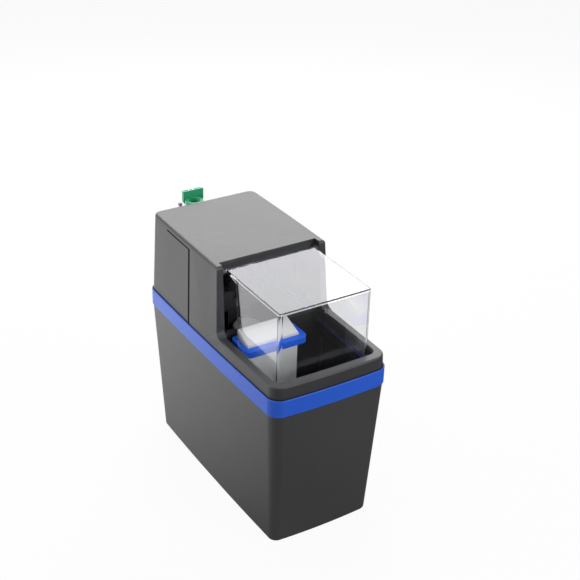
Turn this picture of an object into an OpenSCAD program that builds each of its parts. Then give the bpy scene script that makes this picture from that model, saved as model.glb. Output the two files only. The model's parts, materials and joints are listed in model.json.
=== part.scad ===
// Compact cabinet water softener with a salt bay under a clear lid.
// Frame: millimetres, +Z up, front towards -Y, origin at the middle of the base's underside.

/* [Overall] */
// Height of the rear tower above the floor
total_h = 501.2; // [499.2:0.2:503.2]
// Half width of the cabinet just under the band
cab_w1 = 123.2; // [122.2:0.2:124.2]
// Half length of the cabinet just under the band
cab_l1 = 248.2; // [245.2:0.2:251.2]
// How much narrower each side is at the floor
draft_w = 15.2; // [13.2:0.2:17.2]
// How much shorter each end is at the floor
draft_l = 17.5; // [15.5:0.5:19.5]
// Outward bow of the long walls at mid length
bow_side = 3.7; // [3.2:0.1:4.2]
// Outward bow of the end walls at mid width
bow_end = 4.1; // [3.6:0.1:4.6]
// Moulded wall thickness
wall = 3; // [2.8:0.1:3.2]

/* [Band] */
// Underside of the coloured band
band_z0 = 298.4; // [297.4:0.2:299.4]
// Height of the coloured band
band_h = 35.6; // [35:0.2:36.2]
// How far the band stands out from the cabinet
band_over = 1.8; // [1.6:0.1:2.2]

/* [Hood] */
// How far the hood's foot is set in from the cabinet's top edge
hood_in = 1; // [0.8:0.1:1.2]
// How much narrower each side of the tower is at its top
taper_w = 7.9; // [7:0.1:9]
// How much shorter each end of the hood is at its top
taper_l = 7.6; // [7:0.1:8.4]
// Height of the rim above the band
rim_h = 26; // [25:0.5:27]
// Rounding of the hood's top edge
top_round = 5; // [4:0.5:6]

/* [Clear lid] */
// Gap between the lid's sides and the walls of the bay
lid_side_gap = 9.7; // [9.2:0.1:10.2]
// Gap between the lid's front and the front wall of the bay
lid_front_gap = 10.1; // [9.6:0.1:10.6]
// How far the lid's top lies below the tower's top
lid_drop = 10.5; // [10.2:0.1:10.8]
// Lid wall thickness
lid_t = 3; // [2.8:0.1:3.4]

/* [Brine well] */
// How far the collar's top lies below the rim
collar_drop = 10; // [9.5:0.5:12]
// Height of the collar
collar_h = 14; // [12:0.5:16]
// Width of the collar's flange
collar_f = 13.3; // [12:0.1:14]
// Slope of the well's cover, in degrees
cap_slope = 17.7; // [10:0.1:20]

/* [Tanks] */
// Radius of each resin tank
tank_r = 52; // [50:0.5:52.5]
// Radius of the neck caps
neck_cap_r = 30; // [29:0.5:31]

/* [Water meter] */
// Gear tooth module
gear_m = 1; // [1:0.1:1]
// Teeth on both pinions
pin_t = 12; // [12:1:12]
// Teeth on the idler gear
idler_t = 36; // [36:1:36]
// Teeth on the index dial
dial_t = 48; // [48:1:48]

/* [Hidden] */
e = 0.01;

// Widths and lengths that follow the cabinet
cab_w0 = cab_w1 - draft_w;
cab_l0 = cab_l1 - draft_l;
band_z1 = band_z0 + band_h;
band_w = cab_w1 + band_over;
band_l = cab_l1 + band_over;
hood_w0 = cab_w1 - hood_in;
hood_w1 = hood_w0 - taper_w;
hood_l0 = cab_l1 - hood_in;
hood_l1 = hood_l0 - taper_l;
rim_z = band_z1 + rim_h;

// Wall sections
cab_r0 = 15;
cab_r1 = 23;
band_r = 24;
band_t = 2.4;
hood_r0 = 23;
hood_r1 = 15;
step_in = 2.4;
skirt_in = 1.2;
web_z0 = band_z0 + 17.6;
web_z1 = web_z0 + 3;
web_over = 8.6;
band_lip_z = band_z1 - 4;
floor_z = 4;
cover_t = 2.7;
lip_in = 3;
lip_t = 2.8;
lip_w = 9;

// Lengthways places: the tanks stand off the rear wall, the rest follows them
tank_yb = cab_l0 - 75.7;
tank_ya = tank_yb - 2 * tank_r - 8;
part_y = tank_ya - 70;
seam_y = part_y + 96.6;
seam_lean = 0.046;
seam_z = total_h - 9.7;
seam_gap = 2.2;
relief_y = part_y + 200;

// Salt bay opening in the hood
bay_w = hood_w0 - 15.2;
bay_y0 = 18.7 - hood_l0;
bay_y1 = part_y - 6;
bay_r = 14;
bay_bow = 2.4;
skirt_z = web_z1 + 9;
skirt_t = 2.5;
tower_y = part_y - 14.2;
tower_lean = 0.075;
tower_round = 6;
fillet_r = 13;
throat_w1 = bay_w - 2;
throat_t = 2.5;
brow_y = part_y + 12.2;
brow_z = total_h - 18.2;

// Lid and its hinge
lid_w = bay_w - lid_side_gap;
lid_y0 = bay_y0 + lid_front_gap;
lid_z1 = total_h - lid_drop;
lid_z0 = rim_z - 14;
lid_edge = 3.2;
pivot_y = part_y + 2;
pivot_z = lid_z1 - 5.2;
pivot_r = 2.5;
pivot_run = 0.06;
ear_x0 = lid_w + 0.9;
ear_x1 = throat_w1;
lid_ear_x = lid_w - lid_t;

// Well
well_x0 = 24.8 - bay_w;
well_x1 = well_x0 + 108.4;
well_y1 = part_y - 17.5;
well_y0 = well_y1 - 45;
well_t = 2.5;
well_r = 6;
well_cx = (well_x0 + well_x1) / 2;
well_cy = (well_y0 + well_y1) / 2;
well_w = (well_x1 - well_x0) / 2;
well_l = (well_y1 - well_y0) / 2;
collar_z = rim_z - collar_drop;
collar_left = 11.6;
cap_round = 6;
valve_x = well_cx + 2;
valve_y = well_cy;
rod_r = 3;
float_r = 17;
float_z = 120;
well_floor = 8;
socket_z = 57;
tube_x = well_x0 + 20.2;
tube_r = 4.75;
tube_z = band_z0 + 5.6;

// Tanks and head
tank_x = -8;
head_y = (tank_ya + tank_yb) / 2;
neck_r = 22;
tank_t = 2.6;
cap_z0 = band_z0 - 11.4;
cap_z1 = cap_z0 + 25;
port_z = cap_z0 + 16;
spigot_r = 8;
seal_in = 7.2;
block_z0 = cap_z0 + 4;
block_z1 = block_z0 + 41;
upper_z1 = block_z1 + 48;
block_l = 44;
upper_l = 40;
upper_w = 58;
pipe_dx = 42;
pipe_z = upper_z1 - 20;
pipe_r = 9.5;
pipe_in = 9;
thread_r = 13.2;
piston_z = upper_z1 - 34;
piston_r = 7.5;
piston_run = 0.05;
meter_r = 26;
meter_z1 = upper_z1 + 34;
gear_z = meter_z1 + 6;
turb_x = tank_x;
turb_y = head_y;
pin_pitch = gear_m * pin_t / 2;
idler_x = turb_x + pin_pitch + gear_m * idler_t / 2;
idler_y = turb_y;
dial_c = pin_pitch + gear_m * dial_t / 2;
dial_x = idler_x + dial_c * cos(120);
dial_y = idler_y + dial_c * sin(120);
shaft_r = 2;
shaft_run = 0.06;
axle_r = 1.5;

// Rear fittings, placed from the hood's rear wall and from its top
pad_y = hood_l0 - 4.1;
pad_in = pad_y - 9.1;
clip_z = total_h - 49.2;
bracket_x = -5.5;
ring_x = -10.5;
ring_y = pad_y + 17.9;
ring_z = clip_z + 40.3;
ring_r = 18.9;
ring_hole = 11.5;
plate_y0 = pad_y + 30.9;
plate_t = 7;
drain_x = -42.5;
drain_z = clip_z + 20;
drain_y = ring_y;
drain_px = tank_x - 50;
drain_bend = 12;
hose_end = drain_z + 22;
socket_y = pad_y - 41;
tube_bend = 14;
pipe_end = hood_l0 + 40.8;
over_x = 55;
over_z = band_z0 - 28.4;
pad_over = cab_l1 + 2.8;

// One ring of points: half width w, front yf, back yb, corner radius r, side bow bs,
// front bow bf, back bow bb, height z
function corner_c(k, w, yf, yb, r) =
  k == 0 ? [w - r, yf + r] : k == 1 ? [w - r, yb - r] : k == 2 ? [-(w - r), yb - r] : [-(w - r), yf + r];
function arc_pt(k, i, n, w, yf, yb, r) =
  corner_c(k, w, yf, yb, r) + r * [cos(-90 + 90 * k + 90 * i / n), sin(-90 + 90 * k + 90 * i / n)];
function bow_pt(p, w, yf, yb, bs, bf, bb, z) =
  let (yc = (yf + yb) / 2, l = (yb - yf) / 2, v = (p[1] - yc) / l, u = p[0] / w)
  [p[0] + bs * u * (1 - v * v), p[1] + (v < 0 ? bf : bb) * v * (1 - u * u), z];
function section(w, yf, yb, r, bs, bf, bb, z, n = 8, m = 8) = [
  for (k = [0:3])
    let (k2 = (k + 1) % 4, a = arc_pt(k, n, n, w, yf, yb, r), b = arc_pt(k2, 0, n, w, yf, yb, r))
      each [
        for (i = [0:n]) bow_pt(arc_pt(k, i, n, w, yf, yb, r), w, yf, yb, bs, bf, bb, z),
        for (j = [1:m - 1]) bow_pt(a + (b - a) * j / m, w, yf, yb, bs, bf, bb, z)
      ]
];

module loft(s) {
  n = len(s[0]);
  pts = [for (q = s) each q];
  polyhedron(points = pts, faces = [
    [for (i = [0:n - 1]) i],
    for (k = [0:len(s) - 2], i = [0:n - 1]) each [
      [k * n + i, (k + 1) * n + i, (k + 1) * n + (i + 1) % n],
      [k * n + i, (k + 1) * n + (i + 1) % n, k * n + (i + 1) % n]
    ],
    [for (i = [n - 1:-1:0]) (len(s) - 1) * n + i]
  ]);
}

// Outer surfaces, inset by t
function cab_k(z) = min(z, band_z0) / band_z0;
function cab_s(z, t) =
  let (k = cab_k(z), w = cab_w0 + (cab_w1 - cab_w0) * k - t, l = cab_l0 + (cab_l1 - cab_l0) * k - t,
    r = max(cab_r0 + (cab_r1 - cab_r0) * k - t, 4))
  section(w, -l, l, r, bow_side, bow_end, bow_end, z);
function in_w(z) = cab_w0 + (cab_w1 - cab_w0) * cab_k(z) - wall;
function in_l(z) = cab_l0 + (cab_l1 - cab_l0) * cab_k(z) - wall;
function hood_k(z) = (z - band_z1) / (total_h - band_z1);
function hood_w(z) = hood_w0 + (hood_w1 - hood_w0) * hood_k(z);
function hood_l(z) = hood_l0 + (hood_l1 - hood_l0) * hood_k(z);
function hood_s(z, t, zz) =
  let (k = hood_k(z), r = max(hood_r0 + (hood_r1 - hood_r0) * max(k, 0) - t, 4),
    b = bow_end * (1 - max(k, 0)))
  section(hood_w(z) - t, -hood_l(z) + t, hood_l(z) - t, r, bow_side, bow_end, b, zz);
function band_s(z, t) =
  section(band_w - t, -band_l + t, band_l - t, max(band_r - t, 6), bow_side, bow_end, bow_end, z);
function bay_s(z, t) = section(bay_w + t, bay_y0 - t, bay_y1 + t, bay_r + t, 1.6, bay_bow, 0, z);

module ring_loft(outer, inner) {
  difference() {
    loft(outer);
    loft(inner);
  }
}

// Cabinet: open tub with slots for the partition and a flat seat for the overflow
module cabinet() color([0.24, 0.25, 0.26]) difference() {
  union() {
    difference() {
      loft([cab_s(0, 3), cab_s(0.9, 0.9), cab_s(3, 0), cab_s(band_z0 / 2, 0), cab_s(band_z0 - 0.8, 0),
        cab_s(band_z0 - 0.3, step_in), cab_s(web_z0, step_in)]);
      loft([cab_s(floor_z, wall + 2), cab_s(floor_z + 4, wall), cab_s(band_z0 - 7, wall),
        cab_s(band_z0 - 3, wall + step_in), cab_s(web_z0 + 1, wall + step_in)]);
    }
    for (y = [part_y - 7.2, part_y + 0.2])
      intersection() {
        difference() {
          loft([cab_s(3, 1), cab_s(band_z0 - 12.4, 1)]);
          loft([cab_s(3.5, wall + 7), cab_s(band_z0 - 11.4, wall + 7)]);
        }
        translate([-cab_w1 - 20, y, 3.2]) cube([2 * cab_w1 + 40, 4, band_z0 - 18.4]);
      }
    translate([over_x, pad_over - 15, over_z]) rotate([-90, 0, 0]) cylinder(r = 18, h = 15, $fn = 48);
    for (s = [-1, 1], y = [part_y - 33, part_y + 87, part_y + 207])
      translate([s * (cab_w0 - 4) - 1.5, y - 24, 3.5]) cube([3, 48, 10]);
  }
  translate([over_x, pad_over - 21, over_z]) rotate([-90, 0, 0]) cylinder(r = 10.3, h = 30, $fn = 48);
  translate([over_x, pad_over - 36, over_z]) rotate([-90, 0, 0]) cylinder(r = 19, h = 23, $fn = 48);
  for (x = [-55, 55], y = [-150, -50, 50, 150])
    translate([x - 38, y - 34, -1]) cube([76, 68, 2]);
}

// Band: an H section that takes the cabinet's edge below and the hood's skirt above
module band_ring() color([0.1, 0.3, 0.75]) {
  difference() {
    loft([band_s(band_z0, 1.1), band_s(band_z0 + 1.4, 0), band_s(band_z1 - 1.2, 0), band_s(band_z1, 1)]);
    loft([band_s(band_z0 - 1, band_t), band_s(web_z0, band_t)]);
    loft([band_s(web_z1, band_t), band_s(band_z1 + 1, band_t)]);
    loft([band_s(web_z0 - 1, web_over + 2.5), band_s(web_z1 + 1, web_over + 2.5)]);
  }
  difference() {
    loft([band_s(web_z0 - 1, web_over), band_s(band_lip_z, web_over)]);
    loft([band_s(web_z0 - 2, web_over + 2.5), band_s(band_lip_z + 1, web_over + 2.5)]);
  }
}

// Side profile of what is cut away in front of the tower
function front_y(z) = tower_y + (z - rim_z) * tower_lean;
module front_cut(dy, dz) {
  z0 = rim_z + dz;
  yf = front_y(z0 + fillet_r) + dy;
  translate([-200, 0, 0]) rotate([90, 0, 90]) linear_extrude(400) polygon([
    [-400, z0],
    for (i = [0:6]) [yf - fillet_r + fillet_r * sin(15 * i), z0 + fillet_r - fillet_r * cos(15 * i)],
    for (i = [0:5]) [front_y(total_h - tower_round) + dy + tower_round * (1 - cos(18 * i)),
      total_h - tower_round + (tower_round + 0.01) * sin(18 * i)],
    [front_y(total_h) + dy + tower_round, total_h + 60],
    [-400, total_h + 60]
  ]);
}
function round_levels(z1, r) = [for (a = [0:22.5:90]) [z1 - r + r * sin(a), r * (1 - cos(a))]];

// Hood: rim round the salt bay, tower with an open front, lips for the rear cover
module hood_body() difference() {
  union() {
    difference() {
      intersection() {
        loft([hood_s(band_z1, skirt_in, web_z1), hood_s(band_z1, skirt_in, band_z1 + 1.4),
          hood_s(band_z1 + 1.8, 0, band_z1 + 1.8),
          for (q = round_levels(total_h, top_round)) hood_s(q[0], q[1], q[0])]);
        translate([-200, front_y(rim_z) - fillet_r, web_z1 - 10]) cube([400, 400, 300]);
      }
      front_cut(0, 0);
      loft_in_tower();
    }
    difference() {
      intersection() {
        loft([hood_s(band_z1, skirt_in, web_z1), hood_s(band_z1, skirt_in, band_z1 + 1.4),
          hood_s(band_z1 + 1.8, 0, band_z1 + 1.8),
          for (q = round_levels(rim_z, 3.2)) hood_s(q[0], q[1], q[0])]);
        translate([-200, -400, web_z1 - 10]) cube([400, 400 + front_y(rim_z) - fillet_r + e, 300]);
      }
      loft([hood_s(band_z1, wall + skirt_in, web_z1 - 1), hood_s(band_z1, wall + skirt_in, band_z1 + 1),
        hood_s(band_z1 + 5, wall, band_z1 + 5), hood_s(rim_z - wall, wall, rim_z - wall)]);
    }
    ring_loft([bay_s(skirt_z, skirt_t), bay_s(rim_z - 1, skirt_t)],
      [bay_s(skirt_z - 1, 0), bay_s(rim_z, 0)]);
    hood_throat();
    hood_ears();
  }
  loft([bay_s(rim_z - 8, 0), bay_s(rim_z - 1.2, 0), bay_s(rim_z + 0.2, 1.4), bay_s(rim_z + 0.4, 1.4)]);
  translate([-200, 0, 0]) rotate([90, 0, 90]) linear_extrude(400)
    polygon([[-60, web_z1 - 19], [-60, web_z1 - 1], [60, web_z1 - 1], [60, web_z1 - 19]]);
}
module loft_in_tower() difference() {
  loft([hood_s(band_z1, wall + skirt_in, web_z1 - 1), hood_s(band_z1, wall + skirt_in, band_z1 + 1),
    hood_s(band_z1 + 5, wall, band_z1 + 5), hood_s(total_h - wall, wall, total_h - wall)]);
  difference() {
    front_cut(wall, -wall);
    translate([-200, -400, web_z1 - 19]) cube([400, 400, rim_z - wall - web_z1 + 18]);
  }
}
module throat_prism(t, y0, y1, top) translate([0, y1, 0]) rotate([90, 0, 0]) linear_extrude(y1 - y0)
  polygon([[-bay_w - t, rim_z - 6], [-throat_w1 - t, top], [throat_w1 + t, top], [bay_w + t, rim_z - 6]]);
module hood_throat() difference() {
  throat_prism(throat_t, part_y - 43, part_y + 39, total_h - wall + e);
  front_cut(0.001, 0);
  translate([-200, part_y - 73, 200]) cube([400, 73 - 14.2 - fillet_r - 0.5, 400]);
  throat_prism(0, part_y - 63, part_y + 57, total_h + 5);
}
module hood_ears() for (s = [-1, 1])
  translate([s > 0 ? ear_x0 : -ear_x1 - 1.5, 0, 0]) difference() {
    rotate([90, 0, 90]) linear_extrude(ear_x1 - ear_x0 + 1.5) union() {
      translate([pivot_y, pivot_z]) circle(r = 5, $fn = 40);
      polygon([[pivot_y - 2, pivot_z - 4.6], [pivot_y - 2, pivot_z + 4.6], [brow_y + 1, pivot_z + 4.6],
        [brow_y + 1, pivot_z - 9]]);
    }
    translate([-1, pivot_y, pivot_z]) rotate([0, 90, 0])
      cylinder(r = pivot_r, h = 4 + ear_x1 - ear_x0, $fn = 40);
  }
// What lies behind the leaning seam, dy further back, between two heights
function seam_at(z) = seam_y + (z - band_z1) * seam_lean;
module behind_seam(dy, za, zb) translate([-200, 0, 0]) rotate([90, 0, 90]) linear_extrude(400)
  polygon([[seam_at(za) + dy, za], [seam_at(zb) + dy, zb], [400, zb], [400, za]]);
// Zone of the rear cover, from its inner face by t outwards
module cover_zone(t) intersection() {
  difference() {
    loft([hood_s(band_z1, -4, band_z1), hood_s(seam_z, -4, seam_z)]);
    loft([hood_s(band_z1, t, band_z1 - 0.5), hood_s(seam_z, t, seam_z + 0.5)]);
  }
  behind_seam(0, band_z1 + 1.4, seam_z);
}
// Frame of lips behind the seam, rooted in the shell round it
module cover_lips() intersection() {
  difference() {
    loft([hood_s(web_z1, lip_in - 1, web_z1), hood_s(total_h - 2, lip_in - 1, total_h - 2)]);
    loft([hood_s(web_z1, lip_in + lip_t, web_z1 - 1), hood_s(total_h - 2, lip_in + lip_t, total_h - 1)]);
  }
  difference() {
    behind_seam(-12, band_lip_z + 1, total_h - 3);
    behind_seam(lip_w, band_z1 + lip_w, seam_z - lip_w);
    translate([tank_x - 62, hood_l0 - 47, pipe_z - 19]) cube([124, 100, 30]);
  }
}
module tower_mouth() difference() {
  throat_prism(0, part_y - 43, part_y + 47, brow_z);
  translate([-200, part_y - 73, 200]) cube([400, 200, rim_z - 200 - wall]);
  intersection() {
    translate([-200, bay_y1 - 0.1, rim_z - 6]) cube([400, 2.6, 6]);
    throat_prism(1, part_y - 43, part_y + 47, brow_z);
  }
  hood_ears();
}
module brow_recess() difference() {
  translate([-throat_w1, brow_y - 50, brow_z]) cube([throat_w1 * 2, 50, 40]);
  hood_ears();
}
module brow_face() intersection() {
  translate([-throat_w1 - 1, brow_y, brow_z]) cube([throat_w1 * 2 + 2, wall, total_h - brow_z - 1]);
  loft([hood_s(band_z1, 1, band_z1), hood_s(total_h - 1, 1, total_h - 1)]);
}
module hood() color([0.36, 0.37, 0.38]) {
  difference() {
    union() {
      difference() {
        hood_body();
        tower_mouth();
        brow_recess();
        cover_zone(lip_in + 0.5);
      }
      cover_lips();
    }
    cover_zone(lip_in);
  }
  brow_face();
  // rests for the lid's front edge
  for (x = [-60, 56])
    translate([x, bay_y0 - bay_bow, lid_z0 - 12]) cube([4, 16 + bay_bow, 12]);
}

// Rear cover: slides back off the lips, with a window for the pipes
module rear_cover() color([0.33, 0.34, 0.35]) difference() {
  union() {
    intersection() {
      difference() {
        loft([hood_s(band_z1, 0, band_z1), hood_s(seam_z, 0, seam_z)]);
        loft([hood_s(band_z1, cover_t, band_z1 - 1), hood_s(seam_z, cover_t, seam_z + 1)]);
      }
      behind_seam(seam_gap, band_z1 + 1.8, seam_z - 0.4);
    }
    translate([bracket_x - 23, pad_in, clip_z - 2]) cube([46, pad_y - pad_in, 27]);
    translate([drain_x, pad_y - 4, drain_z]) rotate([-90, 0, 0]) cylinder(r = 11.5, h = 4, $fn = 48);
  }
  // wider gap along the front half of the upper seam
  translate([-200, 0, seam_z - 1.6]) cube([400, relief_y, 3]);
  translate([tank_x - 62, hood_l0 - 47, pipe_z - 16]) cube([124, 100, 32]);
  translate([drain_x, pad_y - 43, drain_z]) rotate([-90, 0, 0]) cylinder(r = 5.3, h = 100, $fn = 40);
  for (x = [-15, 15])
    translate([bracket_x + x, pad_in - 1.5, clip_z + 11.5]) rotate([-90, 0, 0])
      cylinder(r = 1.8, h = 20, $fn = 32);
}

// Clear lid: a box open behind and below, with hinge ears at its rear corners
module lid_walls(t, zt) intersection() {
  translate([0, 0, lid_z0 - 1]) linear_extrude(zt - lid_z0 + 1) union() {
    translate([-lid_w + t, lid_y0 + 7.5]) square([2 * (lid_w - t), 260]);
    translate([-lid_w + 7.5, lid_y0 + t]) square([2 * (lid_w - 7.5), 260]);
    for (s = [-1, 1]) translate([s * (lid_w - 7.5), lid_y0 + 7.5]) circle(r = 7.5 - t, $fn = 40);
  }
  translate([-150, 0, 0]) rotate([90, 0, 90]) linear_extrude(300)
    polygon(t > 0 ? [[-400, 200], [part_y + 27, 200], [part_y + 27, 700], [-400, 700]]
      : [[-400, lid_z0], [part_y - 49, lid_z0], [part_y - 40, lid_z1 - 10.1], [part_y - 9, pivot_z + 2.2],
        [part_y - 1, pivot_z + 2.2], [part_y - 1, 700], [-400, 700]]);
}
module salt_lid() color([0.85, 0.88, 0.9, 0.35]) difference() {
  union() {
    difference() {
      lid_walls(0, lid_z1);
      lid_walls(lid_t, lid_z1 - lid_t);
    }
    for (s = [-1, 1]) translate([s > 0 ? lid_ear_x : -lid_w, 0, 0])
      rotate([90, 0, 90]) linear_extrude(lid_w - lid_ear_x) union() {
        translate([pivot_y, pivot_z]) circle(r = lid_z1 - pivot_z, $fn = 48);
        polygon([[pivot_y, lid_z1], [pivot_y, pivot_z - 5], [pivot_y - 19, lid_z1 - 5],
          [pivot_y - 19, lid_z1]]);
      }
  }
  for (s = [-1, 1]) translate([s * (lid_w - lid_t / 2), pivot_y, pivot_z]) rotate([0, 90, 0])
    cylinder(r = pivot_r + pivot_run, h = 12, center = true, $fn = 40);
  // softened upper edges
  for (s = [-1, 1]) translate([s * lid_w, lid_y0, lid_z1]) rotate([0, 45, 0])
    cube([lid_edge, 500, lid_edge], center = true);
  translate([0, lid_y0, lid_z1]) rotate([45, 0, 0])
    cube([2 * lid_w + 10, lid_edge, lid_edge], center = true);
}
module lid_pins() color([0.55, 0.56, 0.57]) for (s = [-1, 1])
  translate([s > 0 ? lid_ear_x + 0.5 : -ear_x1, pivot_y, pivot_z]) rotate([0, 90, 0])
    cylinder(r = pivot_r, h = ear_x1 - lid_ear_x - 0.5, $fn = 40);

// Partition between the salt bay and the tanks
module partition() color([0.16, 0.16, 0.17]) difference() {
  translate([0, part_y, 0]) rotate([90, 0, 0]) linear_extrude(3) polygon([
    for (s = [-1, 1], q = s < 0 ? [0:3] : [3:-1:0]) [
      s * [in_w(floor_z) - 1.7, in_w(band_z0) - 4, bay_w - 3, bay_w - 3][q],
      [floor_z, band_z0 - 8, band_z0 + 1.6, collar_z][q]]]);
  translate([tube_x, part_y + 7, tube_z]) rotate([90, 0, 0]) cylinder(r = tube_r + 0.8, h = 20, $fn = 40);
}

// Perforated plate that keeps the salt above the brine
grid_z = 60;
grid_w = in_w(grid_z) - 5;
grid_y0 = 7.2 - in_l(grid_z);
grid_y1 = part_y - 8.5;
module salt_grid() color([0.18, 0.18, 0.19]) difference() {
  union() {
    translate([-grid_w, grid_y0, grid_z]) cube([2 * grid_w, grid_y1 - grid_y0, 4]);
    for (x = [7 - grid_w, grid_w - 13], y = [grid_y0 + 8, grid_y0 + 94, grid_y1 - 10.5])
      translate([x, y, floor_z]) cube([6, 6, grid_z - 3]);
    for (x = [well_x1 + 14, well_x1 + 42])
      translate([x, grid_y0, grid_z - 8]) cube([3, grid_y1 - grid_y0, 9]);
  }
  for (x = [11 - grid_w:14:grid_w - 9], y = [grid_y0 + 10:14:well_y0 - 10])
    translate([x, y, grid_z - 10]) cylinder(r = 4, h = 20, $fn = 16);
  for (x = [well_x1 + 22:14:grid_w - 9], y = [well_y0 + 2:14:grid_y1 - 9])
    translate([x, y, grid_z - 10]) cylinder(r = 4, h = 20, $fn = 16);
  translate([well_x0 - 1.5, well_y0 - 1.5, grid_z - 10]) cube([well_x1 - well_x0 + 3, 70, 20]);
}

// Brine well: an upright rectangular tube with slots at its foot
module well_box(t, z0, z1, r) translate([well_cx, well_cy, z0]) linear_extrude(z1 - z0) union() {
  square([2 * (well_w - t), 2 * (well_l - t - r)], center = true);
  square([2 * (well_w - t - r), 2 * (well_l - t)], center = true);
  for (x = [-1, 1], y = [-1, 1])
    translate([x * (well_w - t - r), y * (well_l - t - r)]) circle(r = r, $fn = 32);
}
module brine_well() color([0.8, 0.83, 0.8, 0.7]) difference() {
  well_box(0, floor_z, collar_z - 2, well_r);
  well_box(well_t, well_floor, collar_z + 10, well_r - well_t);
  for (i = [0:6]) translate([well_x0 + 12 + i * 13, well_y0 - 5, 14]) cube([5, 60, 30]);
  for (y = [-11, 1, 13])
    translate([well_x0 - 5, well_cy + y - 2.5, 14]) cube([well_x1 - well_x0 + 10, 5, 30]);
  translate([tube_x, part_y - 3, tube_z]) rotate([90, 0, 0]) cylinder(r = tube_r + 0.6, h = 25, $fn = 40);
}

// Collar: a broad flange round the well's top
col_x0 = well_x0 - collar_left;
col_x1 = well_x1 + collar_f;
col_y0 = well_y0 - collar_f;
col_y1 = well_y1 + 8;
col_r = 13;
module collar_plate(z0, z1, t) translate([0, 0, z0]) linear_extrude(z1 - z0) union() {
  translate([col_x0 + t, col_y0 + col_r]) square([col_x1 - col_x0 - 2 * t, col_y1 - col_y0 - 2 * col_r]);
  translate([col_x0 + col_r, col_y0 + t]) square([col_x1 - col_x0 - 2 * col_r, col_y1 - col_y0 - 2 * t]);
  for (x = [col_x0 + col_r, col_x1 - col_r], y = [col_y0 + col_r, col_y1 - col_r])
    translate([x, y]) circle(r = col_r - t, $fn = 48);
}
module well_collar() color([0.1, 0.32, 0.78]) difference() {
  union() {
    collar_plate(collar_z - collar_h, collar_z - 1, 0);
    collar_plate(collar_z - 1.01, collar_z - 0.4, 0.35);
    collar_plate(collar_z - 0.41, collar_z, 1);
  }
  well_box(-0.3, collar_z - collar_h - 5, collar_z + 5, well_r);
  difference() {
    collar_plate(collar_z - collar_h - 1, collar_z - 3, 2.6);
    well_box(-2.8, collar_z - collar_h - 5, collar_z + 5, well_r);
  }
}

// Cover of the well: its top slopes down to the front so that salt slides off
ridge_z = collar_z + 5.5 + (well_l * 2 - 10.5) * tan(cap_slope);
module wedge(t, zb) translate([well_x0 + t, 0, 0]) rotate([90, 0, 90])
  linear_extrude(well_x1 - well_x0 - 2 * t) polygon([
    [well_y0 + t, zb], [well_y0 + t, collar_z + 5.5 - t], [well_y1 - 10.5, ridge_z - t],
    [well_y1 - t, ridge_z + 1.4 - t], [well_y1 - t, zb]]);
// Rounds the two long upper edges: a rounded profile laid along the slope
module cap_profile() multmatrix([[1, 0, 0, 0], [0, 1, 0, 0], [0, tan(cap_slope), 1, 0]])
  translate([well_cx, well_y1 + 5, 0]) rotate([90, 0, 0]) linear_extrude(2 * well_l + 10) polygon([
    [-well_w, 0],
    for (i = [0:5]) [-well_w + cap_round * (1 - cos(18 * i)), cap_top - cap_round * (1 - sin(18 * i))],
    for (i = [5:-1:0]) [well_w - cap_round * (1 - cos(18 * i)), cap_top - cap_round * (1 - sin(18 * i))],
    [well_w, 0]]);
cap_top = collar_z + 7 - well_y0 * tan(cap_slope);
module well_cap() color([0.92, 0.92, 0.9]) difference() {
  union() {
    intersection() {
      wedge(0, collar_z + 0.2);
      cap_profile();
    }
    well_box(0.1, collar_z - 1.8, collar_z + 0.3, well_r);
    difference() {
      well_box(well_t + 0.4, collar_z - 12, collar_z - 1, well_r - well_t);
      well_box(well_t + 2.6, collar_z - 13, collar_z, 1.5);
    }
  }
  difference() {
    wedge(3, collar_z - 2);
    translate([well_x0, well_y0, collar_z - 10]) cube([200, 100, 8.4]);
  }
  well_box(well_t + 2.6, collar_z - 10, collar_z - 1, 1.5);
  translate([well_x1 - 16.2, well_y0 - 1, collar_z + 0.6]) cube([1.2, 1.8, 4]);
  translate([well_x0 - 1, well_y1 - 11, ridge_z + 0.35]) cube([200, 0.8, 1]);
}

module float() color([0.85, 0.45, 0.15]) translate([valve_x, valve_y, float_z]) difference() {
  rotate_extrude($fn = 64) polygon([[rod_r + 0.06, 0], [float_r - 3, 0], [float_r, 3], [float_r, 42],
    [float_r - 4, 48], [8, 50], [rod_r + 0.06, 50]]);
}
// Rod with stops and its upper guide
module float_guide() color([0.7, 0.72, 0.72]) {
  translate([valve_x, valve_y, socket_z]) cylinder(r = rod_r, h = band_z0 + 5.6 - socket_z, $fn = 32);
  translate([valve_x, valve_y, 113]) cylinder(r = 7, h = 5, $fn = 32);
  translate([valve_x, valve_y, 216]) cylinder(r = 7, h = 4, $fn = 32);
  translate([valve_x - 4, well_y0 + well_t, band_z0 + 1.6]) cube([8, 2 * (well_l - well_t), 3]);
}
module brine_valve() color([0.86, 0.86, 0.84]) difference() {
  union() {
    translate([valve_x, valve_y, well_floor]) cylinder(r = 14, h = 42, $fn = 56);
    translate([valve_x, valve_y, 49]) cylinder(r = 9, h = 16, $fn = 48);
    translate([tube_x, valve_y - 5, 22]) cube([valve_x - tube_x - 10, 10, 10]);
    translate([tube_x, valve_y, 20]) cylinder(r = 8, h = 24, $fn = 40);
    for (a = [-105:60:135]) rotate_about(valve_x, valve_y, a)
      translate([12, -1.2, well_floor + 1]) cube([5, 2.4, 25]);
  }
  translate([valve_x, valve_y, socket_z]) cylinder(r = rod_r + 0.03, h = 20, $fn = 32);
  translate([tube_x, valve_y, 33]) cylinder(r = tube_r + 0.05, h = 20, $fn = 40);
  for (a = [-75:60:105]) rotate_about(valve_x, valve_y, a) translate([10, -2, 14]) cube([6, 4, 16]);
}
module rotate_about(x, y, a) translate([x, y, 0]) rotate([0, 0, a]) children();

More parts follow.
